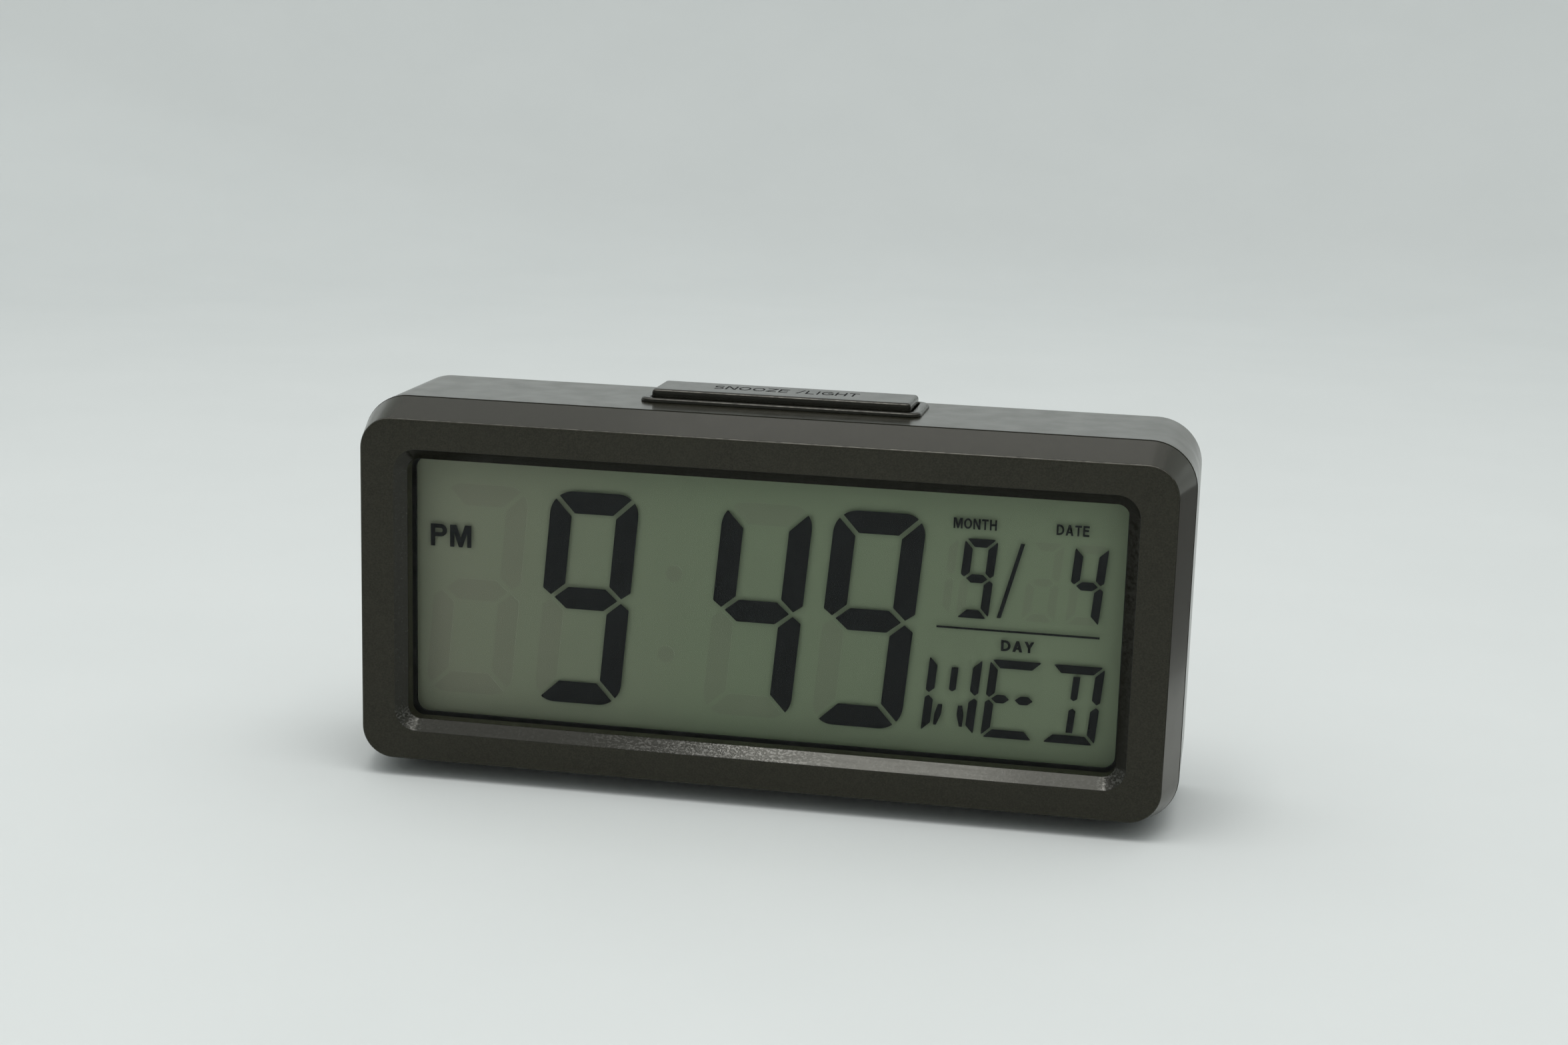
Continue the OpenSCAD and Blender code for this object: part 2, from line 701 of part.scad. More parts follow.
module chip_components() placed() color([0.25, 0.2, 0.16])
    for (i = [0:6], j = [0:1])
        translate([chip_x + chip_pitch * i, board_back, chip_z - chip_pitch * j - (i % 2)]) cube(chip_size);

module electrolytic_capacitor() placed() color([0.15, 0.18, 0.3])
    translate([capacitor_x, 0, capacitor_z]) rod(capacitor_r, board_back, board_back + capacitor_h);

module main_board_screws() placed() color(STEEL) corners(board_post_x, board_post_z)
    screw(small_screw_r, small_head_r, small_head_t, board_back, board_y - 5);

module key_board() placed() color(BOARD) difference() {
    block([key_board_left, key_board_y, key_board_low], [key_board_right, key_board_back, key_board_high]);
    for (x = key_post_xs) translate([x, 0, key_z])
        rod(small_screw_r + 0.1, key_board_y - 1, key_board_back + 1);
}

module key_board_screws() placed() color(STEEL) for (x = key_post_xs) translate([x, 0, key_z])
    screw(small_screw_r, small_head_r, small_head_t, key_board_y, key_board_back + 3);

// Push switch along Y: base at depth y, bore for the plunger in its end
module push_switch(y, travel) difference() {
    translate([-switch_size / 2, y, -switch_size / 2]) cube([switch_size, switch_h, switch_size]);
    rod(plunger_bore_r, y + switch_h - plunger_sink - travel - 0.1, y + switch_h + 1);
}

module key_switches() placed() color(DARK) for (x = key_xs) translate([x, 0, key_z])
    push_switch(key_board_back, key_travel);

module key(i) placed() color(PLASTIC) translate([key_xs[i], 0, key_z]) {
    slab(key_flange_y - key_flange_t, case_d + key_proud) key_outline(0);
    slab(key_flange_y - key_flange_t, key_flange_y) key_outline(key_flange);
}
module key_set() key(0);
module key_up() key(1);
module key_down() key(2);
module key_mode() key(3);

module plunger(i) placed() color([0.7, 0.25, 0.15]) translate([key_xs[i], 0, key_z])
    rod(plunger_r, key_board_back + switch_h - plunger_sink, key_flange_y - key_flange_t);
module plunger_set() plunger(0);
module plunger_up() plunger(1);
module plunger_down() plunger(2);
module plunger_mode() plunger(3);

module slide_switch_body() placed() color(STEEL) translate([slide_x, 0, key_z]) difference() {
    block([-slide_w / 2, key_board_back, -slide_h / 2], [slide_w / 2, key_board_back + slide_t, slide_h / 2]);
    slab(key_board_back + slide_t / 2, key_board_back + slide_t + 1)
        square([slide_knob_w + slide_travel + 0.4, slide_knob_h + 0.2], center = true);
}

module alarm_slide_knob() placed() color(DARK) translate([slide_x - slide_travel / 2, 0, key_z]) {
    ridge = slide_knob_w / 6;
    block([-slide_knob_w / 2, key_board_back + slide_t / 2 + 0.1, -slide_knob_h / 2],
        [slide_knob_w / 2, case_d + slide_proud - ridge, slide_knob_h / 2]);
    for (i = [-1, 0, 1]) block([(2 * i - 0.5) * ridge, case_d, -slide_knob_h / 2],
        [(2 * i + 0.5) * ridge, case_d + slide_proud, slide_knob_h / 2]);
}

module snooze_board() placed() color(BOARD) difference() {
    block([-snooze_board_w / 2, snooze_y - snooze_board_d / 2, shelf_top],
        [snooze_board_w / 2, snooze_y + snooze_board_d / 2, switch_z]);
    for (x = [-1, 1]) translate([x * snooze_screw_x, snooze_y, shelf_top - 1])
        cylinder(r = small_screw_r + 0.1, h = board_t + 2);
}

// Turns a part made along Y to stand along Z on the snooze board
module upright(x) translate([x, snooze_y, 0]) rotate([90, 0, 0]) children();

module snooze_board_screws() placed() color(STEEL) for (x = [-1, 1]) upright(x * snooze_screw_x)
    screw(small_screw_r, small_head_r, small_head_t, switch_z, shelf_z - 0.5);

module snooze_switch() placed() color(DARK) upright(0) push_switch(switch_z, snooze_travel);

module snooze_plunger() placed() color([0.7, 0.25, 0.15])
    translate([0, snooze_y, plunger_low]) cylinder(r = plunger_r, h = plunger_high - plunger_low);

module snooze_springs() placed() color(STEEL) for (x = [-1, 1])
    translate([x * spring_x, snooze_y, shelf_top + spring_wire_r])
        tube(helix(spring_coil_r, spring_coil_r, lip_top - lip_t - shelf_top - 2 * spring_wire_r,
            spring_turns, 12), spring_wire_r, 6);

// ---------- buzzer ----------

module buzzer_plate() placed() color(BRASS)
    translate([buzzer_x, 0, buzzer_z]) rod(buzzer_r, buzzer_seat_y - buzzer_t, buzzer_seat_y);

module buzzer_ceramic() placed() color(WHITE) translate([buzzer_x, 0, buzzer_z])
    rod(ceramic_r, buzzer_seat_y - buzzer_t - ceramic_t, buzzer_seat_y - buzzer_t);

module buzzer_retainer() placed() color(DARK) translate([buzzer_x, 0, buzzer_z]) difference() {
    rod(buzzer_r, buzzer_front + 0.3, buzzer_seat_y - buzzer_t);
    rod(retainer_bore_r, buzzer_front, buzzer_seat_y);
}

// ---------- batteries ----------

module cell(z) translate([0, cell_y, bay_z + z * cell_pitch / 2]) rotate([0, 90, 0]) {
    translate([0, 0, contact_x - cell_l]) cylinder(r = cell_r, h = cell_l - nub_l);
    translate([0, 0, contact_x - nub_l - eps]) cylinder(r = nub_r, h = nub_l + eps);
}
module battery_upper() placed() color([0.2, 0.35, 0.6]) cell(1);
module battery_lower() placed() color([0.2, 0.35, 0.6]) mirror([1, 0, 0]) cell(-1);

module contact(z) {
    half = contact_size / 2;
    translate([contact_x, 0, bay_z + z * cell_pitch / 2]) {
        block([0, cell_y - half, -half], [contact_t, cell_y + half, half]);
        block([0, tail_y, -1], [contact_t, cell_y - half + eps, 1]);
    }
}
module battery_contact_plus() placed() color(STEEL) contact(1);
module battery_contact_minus() placed() color(STEEL) contact(-1);
module battery_contact_bridge() placed() color(STEEL) {
    half = (cell_pitch + contact_size) / 2;
    block([-contact_x - contact_t, cell_y - contact_size / 2, bay_z - half],
        [-contact_x, cell_y + contact_size / 2, bay_z + half]);
}

module battery_springs() placed() color(STEEL) for (s = [-1, 1])
    translate([s * contact_x, cell_y, bay_z - s * cell_pitch / 2]) rotate([0, -90 * s, 0])
        translate([0, 0, spring_wire_r]) tube(helix(3.6, 2.4,
            2 * contact_x - cell_l - 2 * spring_wire_r, 3, 12), spring_wire_r, 6);

// ---------- wires ----------

function battery_route(z0, z1) = [[tail_x, tail_y, z0], [tail_x, tail_y - 0.6, z0],
    [tail_x + 0.6, tail_y - 1.2, z0], [tail_x + 2, tail_y - 1.5, (z0 * 2 + z1) / 3],
    [tail_x + 5, tail_y - 1.5, (z0 + z1 * 2) / 3], [tail_x + 7, tail_y - 1.7, z1],
    [tail_x + 7.7, tail_y - 2.3, z1], [tail_x + 7.7, board_back + 0.5, z1],
    [tail_x + 7.7, board_back, z1]];

module battery_wire_red() placed() color([0.7, 0.1, 0.08])
    tube(battery_route(bay_z + cell_pitch / 2, -3), wire_r, 8);
module battery_wire_black() placed() color(DARK)
    tube(battery_route(bay_z - cell_pitch / 2, -20), wire_r, 8);

module buzzer_wires() placed() color([0.7, 0.1, 0.08]) {
    for (w = [[0, buzzer_seat_y - buzzer_t - ceramic_t, -5], [-7.8, buzzer_seat_y - buzzer_t, -11]])
        tube([[buzzer_x + w[0], w[1], buzzer_z], [buzzer_x + w[0], w[1] - 1, buzzer_z],
            [buzzer_x + w[0], w[1] - 4, buzzer_z], [buzzer_x + w[0] + 2, 24, (buzzer_z + w[2]) / 2],
            [buzzer_x + 8, 20, w[2]], [buzzer_x + 10, 18, w[2]], [buzzer_x + 10, board_back + 1, w[2]],
            [buzzer_x + 10, board_back, w[2]]], thin_wire_r, 8);
}

module snooze_wires() placed() color([0.8, 0.7, 0.2]) for (x = [-2, 2])
    tube([[x, snooze_y - snooze_board_d / 2, switch_z - 0.8], [x, 18.3, switch_z - 0.8],
        [x, 17.4, switch_z - 1.2], [x, 16.4, switch_z - 1.4], [x, board_back, switch_z - 1.4]],
        thin_wire_r, 8);

module key_ribbon() placed() color(WHITE) {
    steps = 12;
    span = key_board_y - board_back;
    top = [for (i = [0:steps])
        [board_back + span * i / steps, ribbon_z + ribbon_wave * sin(180 * i / steps)]];
    rotate([90, 0, 90]) linear_extrude(ribbon_w, center = true)
        polygon(concat(top, [for (i = [steps:-1:0]) top[i] - [0, ribbon_t]]));
}

front_bezel();
rear_case();
battery_door();
snooze_surround();
snooze_button();
rubber_feet();
case_screws();
display_window();
window_gasket();
front_polarizer();
lcd_front_glass();
lcd_segments();
lcd_seal();
lcd_rear_glass();
transflector();
light_guide();
backlight_leds();
reflector_sheet();
lcd_holder();
zebra_strip();
main_board();
controller_blob();
watch_crystal();
chip_components();
electrolytic_capacitor();
main_board_screws();
key_board();
key_board_screws();
key_switches();
key_set();
key_up();
key_down();
key_mode();
plunger_set();
plunger_up();
plunger_down();
plunger_mode();
slide_switch_body();
alarm_slide_knob();
snooze_board();
snooze_board_screws();
snooze_switch();
snooze_plunger();
snooze_springs();
buzzer_plate();
buzzer_ceramic();
buzzer_retainer();
battery_upper();
battery_lower();
battery_contact_plus();
battery_contact_minus();
battery_contact_bridge();
battery_springs();
battery_wire_red();
battery_wire_black();
buzzer_wires();
snooze_wires();
key_ribbon();
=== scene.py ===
"""Desk alarm clock: detailed pieces, materials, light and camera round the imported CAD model."""
import json
import math

import bmesh
import bpy
from mathutils import Matrix, Vector

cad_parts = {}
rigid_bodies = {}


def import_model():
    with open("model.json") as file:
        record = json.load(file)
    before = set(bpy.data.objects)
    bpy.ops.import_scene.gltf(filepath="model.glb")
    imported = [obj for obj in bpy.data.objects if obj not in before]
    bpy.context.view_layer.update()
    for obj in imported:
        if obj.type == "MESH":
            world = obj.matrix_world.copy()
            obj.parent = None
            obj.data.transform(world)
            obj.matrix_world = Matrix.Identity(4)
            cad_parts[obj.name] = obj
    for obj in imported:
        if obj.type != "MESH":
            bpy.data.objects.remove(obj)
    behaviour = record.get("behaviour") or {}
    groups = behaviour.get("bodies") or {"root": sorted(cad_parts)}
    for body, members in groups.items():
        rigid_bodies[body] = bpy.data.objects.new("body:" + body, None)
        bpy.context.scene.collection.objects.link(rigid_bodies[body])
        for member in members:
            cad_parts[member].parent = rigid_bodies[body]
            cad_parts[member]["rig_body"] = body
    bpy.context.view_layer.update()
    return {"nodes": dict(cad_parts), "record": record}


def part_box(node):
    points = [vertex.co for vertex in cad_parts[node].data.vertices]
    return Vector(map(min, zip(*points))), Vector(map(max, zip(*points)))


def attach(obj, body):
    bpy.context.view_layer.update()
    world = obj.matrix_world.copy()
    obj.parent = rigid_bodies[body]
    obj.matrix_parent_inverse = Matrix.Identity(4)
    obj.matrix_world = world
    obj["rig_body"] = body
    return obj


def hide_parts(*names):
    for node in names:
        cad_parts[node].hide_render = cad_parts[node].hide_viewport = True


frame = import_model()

# ---------- sizes, in metres, in the CAD model's frame ----------

MM = 0.001
bezel_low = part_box("front_bezel")[0]
case_low, case_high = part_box("rear_case")
lens_low, lens_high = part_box("display_window")
button_low, button_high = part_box("snooze_button")
surround_low, surround_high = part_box("snooze_surround")
door_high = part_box("battery_door")[1]
segment_low, segment_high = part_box("lcd_segments")
reflector_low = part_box("transflector")[0]

HALF_W = case_high.x
HALF_H = (case_high.z - case_low.z) / 2
MID_Z = (case_high.z + case_low.z) / 2
FRONT_Y = bezel_low.y
PARTING_Y = case_low.y
BACK_Y = case_high.y
TOP_Z = case_high.z
FILM_Y = reflector_low.y - 0.04 * MM

# CORNER_R is the case's corners seen from the front; TAPER is how far its rim slopes in towards the face.
CORNER_R = 8.4 * MM
TAPER = 2.745 * MM
WALL = 2.2 * MM
# The window opening at the foot of the sloping border, then the border's own width and depth.
WINDOW_HALF_W = 64.1 * MM
WINDOW_HALF_H = 24.1 * MM
WINDOW_R = 2.2 * MM
BEVEL = 2 * MM
BEVEL_DEPTH = 1.96 * MM
LENS_GAP = 0.15 * MM
RIM_T = 1.15 * MM
# LIP keeps the snooze bar inside the case.
LIP = 1 * MM
CORNER_STEPS = 14
OUTLINE_POINTS = 4 * (CORNER_STEPS + 1)

# ---------- profiles and outlines ----------


def rounded_outline(half_w, half_h, r):
    """Points (u, v) of a rounded rectangle, anticlockwise from the upper end of its right side."""
    points = []
    for quarter, (su, sv) in enumerate(((1, 1), (-1, 1), (-1, -1), (1, -1))):
        for k in range(CORNER_STEPS + 1):
            a = math.radians(90 * (quarter + k / CORNER_STEPS))
            points.append((su * (half_w - r) + r * math.cos(a), sv * (half_h - r) + r * math.sin(a)))
    return points


def soften(path, steps=5):
    """Turns corners (offset, depth, radius) into points (offset, depth), with an arc at each corner."""
    points = []
    for i, (x, y, r) in enumerate(path):
        corner = Vector((x, y))
        if r <= 0 or i in (0, len(path) - 1):
            points.append((x, y))
            continue
        back = (Vector(path[i - 1][:2]) - corner).normalized()
        ahead = (Vector(path[i + 1][:2]) - corner).normalized()
        half = back.angle(ahead) / 2
        centre = corner + (back + ahead).normalized() * (r / math.sin(half))
        start = corner + back * (r / math.tan(half)) - centre
        stop = corner + ahead * (r / math.tan(half)) - centre
        turn = start.angle(stop)
        for k in range(steps + 1):
            f = k / steps
            p = (start * math.sin((1 - f) * turn) + stop * math.sin(f * turn)) / math.sin(turn) + centre
            points.append((p.x, p.y))
    return points


def rings(base, path, place):
    """One ring of points for each (offset, depth) of path, round the rounded rectangle base."""
    half_w, half_h, r = base
    made = []
    for grow, depth in path:
        outline = rounded_outline(half_w + grow, half_h + grow, max(r + grow, 0.05 * MM))
        made.append([place(u, v, depth) for u, v in outline])
    return made


def from_front(u, v, depth):
    """u to the right, v up from the middle of the case, depth back from the front face."""
    return Vector((u, FRONT_Y + depth, MID_Z + v))


def from_back(u, v, height):
    """u to the right, v up from the middle of the case, height out of the back face."""
    return Vector((u, BACK_Y + height, MID_Z + v))


def from_top(u, v, height):
    """u to the right, v back from the middle of the snooze bar, height above the top of the case."""
    return Vector((u, (button_low.y + button_high.y) / 2 + v, TOP_Z + height))


# ---------- mesh pieces ----------


def new_object(name, bm, materials, smooth=40):
    """Turns bm into a linked object; edges sharper than smooth degrees stay crisp."""
    bmesh.ops.recalc_face_normals(bm, faces=bm.faces)
    mesh = bpy.data.meshes.new(name)
    bm.to_mesh(mesh)
    bm.free()
    for material in materials:
        mesh.materials.append(material)
    obj = bpy.data.objects.new(name, mesh)
    bpy.context.scene.collection.objects.link(obj)
    mesh.shade_smooth()
    mesh.set_sharp_from_angle(angle=math.radians(smooth))
    weights = obj.modifiers.new("flat_faces", "WEIGHTED_NORMAL")
    weights.keep_sharp = True
    return obj


def add_loft(bm, made, closed=False):
    """Quads between neighbouring rings, capped at both ends, or joined end to start when closed."""
    verts = [[bm.verts.new(p) for p in ring] for ring in made]
    count = len(verts[0])
    pairs = list(zip(verts, verts[1:]))
    if closed:
        pairs.append((verts[-1], verts[0]))
    faces = []
    for a, b in pairs:
        faces += [bm.faces.new((a[k], a[(k + 1) % count], b[(k + 1) % count], b[k])) for k in range(count)]
    if not closed:
        faces.append(bm.faces.new(verts[0]))
        faces.append(bm.faces.new(verts[-1]))
    return faces


def mark(faces, profile, index, low, high, first=0):
    """Gives material index to the bands of a loft, from band first, with their middle between two depths."""
    for k in range(first, len(profile) - 1):
        if low < (profile[k][1] + profile[k + 1][1]) / 2 < high:
            for face in faces[k * OUTLINE_POINTS:(k + 1) * OUTLINE_POINTS]:
                face.material_index = index


def add_lathe(bm, profile, place, sides=48):
    """Turns a profile of (radius, depth) round its axis; place puts (u, v, depth) in the frame."""
    made = []
    for r, depth in profile:
        angles = [2 * math.pi * k / sides for k in range(sides)]
        made.append([place(r * math.cos(a), r * math.sin(a), depth) for a in angles])
    return add_loft(bm, made)


def moulded(name, node, materials, width, angle=35, share=None):
    """A CAD node's shape with its sharp edges rounded, standing for that node on the same body.

    share(point) is the part of width to use for the edge round that point; all of it when left out.
    """
    source = frame["nodes"][node]
    mesh = source.data.copy()
    mesh.name = name
    if mesh.attributes.get("custom_normal"):
        mesh.attributes.remove(mesh.attributes["custom_normal"])
    bm = bmesh.new()
    bm.from_mesh(mesh)
    bmesh.ops.remove_doubles(bm, verts=bm.verts, dist=0.001 * MM)
    bmesh.ops.dissolve_limit(bm, angle_limit=math.radians(0.3), verts=bm.verts, edges=bm.edges)
    weight = bm.edges.layers.float.new("bevel_weight_edge")
    for edge in bm.edges:
        if edge.calc_face_angle(0) > math.radians(angle):
            middle = (edge.verts[0].co + edge.verts[1].co) / 2
            edge[weight] = share(middle) if share else 1
    bm.to_mesh(mesh)
    bm.free()
    mesh.materials.clear()
    for material in materials:
        mesh.materials.append(material)
    obj = bpy.data.objects.new(name, mesh)
    bpy.context.scene.collection.objects.link(obj)
    mesh.shade_smooth()
    mesh.set_sharp_from_angle(angle=math.radians(angle))
    bevel = obj.modifiers.new("edges", "BEVEL")
    bevel.width = width
    bevel.segments = 2
    bevel.limit_method = "WEIGHT"
    bevel.use_clamp_overlap = True
    bevel.harden_normals = True
    stand_for(obj, source["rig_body"], node)
    return obj


def stand_for(obj, body, *nodes, slot=None):
    """Lets obj ride on body in place of the CAD nodes, which it hides; slot is not used."""
    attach(obj, body)
    if nodes:
        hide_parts(*nodes)
    return obj


def arc(cx, cy, rx, start, stop, steps=6, ry=None):
    """Points along an arc or part of an ellipse; angles in degrees."""
    ry = rx if ry is None else ry
    angles = [math.radians(start + (stop - start) * k / steps) for k in range(steps + 1)]
    return [(cx + rx * math.cos(a), cy + ry * math.sin(a)) for a in angles]


def stroke(path, t):
    """Outline of a line of thickness t drawn along path, with mitred corners."""
    sides = ([], [])
    for i, point in enumerate(path):
        here = Vector(point)
        back = (here - Vector(path[i - 1])).normalized() if i else None
        ahead = (Vector(path[i + 1]) - here).normalized() if i < len(path) - 1 else back
        back = back or ahead
        along = (back + ahead).normalized()
        across = Vector((-along.y, along.x)) * (t / 2 / max(0.5, along.dot(back)))
        sides[0].append(tuple(here + across))
        sides[1].append(tuple(here - across))
    return sides[0] + sides[1][::-1]


def bowl(t, x, y0, y1, w):
    """Round right part of O, D, P and R, open on the left at x."""
    middle = (y0 + y1) / 2
    half = (y1 - y0) / 2
    reach = min(w - x, half)
    outer = arc(w - reach, middle, reach, 90, -90, 12, half)
    inner = arc(w - reach, middle, reach - t, -90, 90, 12, half - t)
    points = [(x, y1), *outer, (x, y0), (x, y0 + t), *inner, (x, y1 - t)]
    return [p for p, q in zip(points, points[-1:] + points) if Vector(p) != Vector(q)]


GLYPH_WIDTH = {"A": 0.8, "D": 0.77, "E": 0.64, "F": 0.6, "G": 0.82, "H": 0.72, "I": 0.2, "L": 0.58,
               "M": 0.94, "N": 0.74, "O": 0.82, "P": 0.72, "R": 0.76, "S": 0.7, "T": 0.68, "Y": 0.78,
               "Z": 0.7, "/": 0.5, "+": 0.7, "-": 0.7, " ": 0.3}
LETTER_GAP = 0.14


def glyph(letter, w, t):
    """Outlines that fill one letter of height 1 and width w with strokes of thickness t."""
    mid = w / 2
    if letter == "A":
        run = mid - 0.55 * t
        foot = 1.15 * t
        low, high = 0.22, 0.22 + 0.85 * t
        left = [(0, 0), (run, 1), (mid, 1), (mid, (mid - foot) / run), (foot + high * run, high),
                (mid, high), (mid, low), (foot + low * run, low), (foot, 0)]
        return [left, [(w - x, y) for x, y in left]]
    if letter == "D":
        return [[(0, 0), (0, 1), (t, 1), (t, 1 - t), (t, t), (t, 0)], bowl(t, t, 0, 1, w)]
    if letter in "EF":
        low = 0.46
        reach = 0.92 * w
        top = [(0, 0), (0, 1), (w, 1), (w, 1 - t), (t, 1 - t), (t, low + t), (reach, low + t), (reach, low),
               (t, low)]
        foot = [(t, t), (w, t), (w, 0)] if letter == "E" else [(t, 0)]
        return [top + foot]
    if letter == "G":
        path = [(mid, 0.46), (w - t / 2, 0.46), (w - t / 2, 0.2)]
        return [stroke(path + arc(mid, 0.5, mid - t / 2, -50, -318, 22, 0.5 - t / 2), t)]
    if letter == "H":
        low = 0.5 - t / 2
        return [[(0, 0), (0, 1), (t, 1), (t, low + t), (w - t, low + t), (w - t, 1), (w, 1), (w, 0),
                 (w - t, 0), (w - t, low), (t, low), (t, 0)]]
    if letter == "I":
        return [[(mid - t / 2, 0), (mid - t / 2, 1), (mid + t / 2, 1), (mid + t / 2, 0)]]
    if letter == "L":
        return [[(0, 0), (0, 1), (t, 1), (t, t), (w, t), (w, 0)]]
    if letter == "M":
        run = mid - 0.42 * t - 0.35 * t
        low = 1 - 0.65 * t / run
        high = 1 - (mid - 1.5 * t) / run
        left = [(0, 0), (0, 1), (1.5 * t, 1), (mid, high), (mid, 0), (mid - 0.42 * t, 0), (t, low), (t, 0)]
        return [left, [(w - x, y) for x, y in left]]
    if letter == "N":
        rise = t / (w - 1.15 * t)
        return [[(0, 0), (0, 1), (1.15 * t, 1), (w - t, rise), (w - t, 1), (w, 1), (w, 0),
                 (w - 1.15 * t, 0), (t, 1 - rise), (t, 0)]]
    if letter == "O":
        right = bowl(t, mid, 0, 1, w)
        return [right, [(w - x, y) for x, y in right]]
    if letter in "PR":
        low = 0.43
        parts = [[(0, 0), (0, 1), (t, 1), (t, 1 - t), (t, low + t), (t, low), (t, 0)], bowl(t, t, low, 1, w)]
        if letter == "R":
            parts.append([(0.45 * w, low), (0.45 * w + 1.15 * t, low), (w, 0), (w - 1.2 * t, 0)])
        return parts
    if letter == "S":
        half = (0.5 - t / 2) / 2
        upper = arc(mid, 0.5 + half, mid - t / 2, 35, 270, 16, half)
        return [stroke(upper + arc(mid, 0.5 - half, mid - t / 2, 90, -145, 16, half)[1:], t)]
    if letter == "T":
        return [[(mid - t / 2, 0), (mid - t / 2, 1 - t), (0, 1 - t), (0, 1), (w, 1), (w, 1 - t),
                 (mid + t / 2, 1 - t), (mid + t / 2, 0)]]
    if letter == "Y":
        split = 0.42
        fork = 1 - (mid - 1.15 * t) / (mid - t / 2) * (1 - split)
        return [[(mid - t / 2, 0), (mid - t / 2, split), (0, 1), (1.15 * t, 1), (mid, fork),
                 (w - 1.15 * t, 1), (w, 1), (mid + t / 2, split), (mid + t / 2, 0)]]
    if letter == "Z":
        return [[(0, 0), (0, t), (w - 1.35 * t, 1 - t), (0, 1 - t), (0, 1), (w, 1), (w, 1 - t),
                 (1.35 * t, t), (w, t), (w, 0)]]
    if letter == "/":
        return [[(0, 0), (w - t, 1), (w, 1), (t, 0)]]
    bars = [[(0, 0.5 - t / 2), (0, 0.5 + t / 2), (w, 0.5 + t / 2), (w, 0.5 - t / 2)]]
    if letter == "+":
        bars.append([(mid - t / 2, 0.5 - mid), (mid - t / 2, 0.5 + mid), (mid + t / 2, 0.5 + mid),
                     (mid + t / 2, 0.5 - mid)])
    return bars if letter in "+-" else []


def lettering(name, text, material, place, u0, u1, v0, v1, thick, weight=0.14):
    """A solid line of text in the box from (u0, v0) to (u1, v1); weight is stroke over letter height."""
    total = sum(GLYPH_WIDTH[c] for c in text) + LETTER_GAP * (len(text) - 1)
    scale = (u1 - u0) / total
    bm = bmesh.new()
    start = 0
    for letter in text:
        edges = {}
        for outline in glyph(letter, GLYPH_WIDTH[letter], weight):
            points = [(round((start + x) * scale + u0, 8), round(v0 + (v1 - v0) * y, 8)) for x, y in outline]
            for p, q in zip(points, points[1:] + points[:1]):
                key = (min(p, q), max(p, q))
                edges[key] = edges.get(key, 0) + 1
            for depth in (0, thick):
                bm.faces.new([bm.verts.new(place(u, v, depth)) for u, v in points])
        for (p, q), uses in edges.items():
            if uses == 1:
                corners = ((p, 0), (q, 0), (q, thick), (p, thick))
                bm.faces.new([bm.verts.new(place(*point, depth)) for point, depth in corners])
        start += GLYPH_WIDTH[letter] + LETTER_GAP
    bmesh.ops.remove_doubles(bm, verts=bm.verts, dist=0.0005 * MM)
    return new_object(name, bm, [material], smooth=30)


# ---------- material building ----------

# Linear RGB colours that more than one look uses, and the size of the lacquer's metal flakes.
BRONZE_DARK = (0.0132, 0.0128, 0.0078)
BRONZE_LIGHT = (0.0257, 0.0247, 0.0165)
TRIM_DARK = (0.0055, 0.0054, 0.0032)
TRIM_LIGHT = (0.0105, 0.0102, 0.0066)
LCD_WARM = (0.256, 0.264, 0.196)
LCD_GREEN = (0.226, 0.264, 0.178)
FLAKE = 0.22 * MM


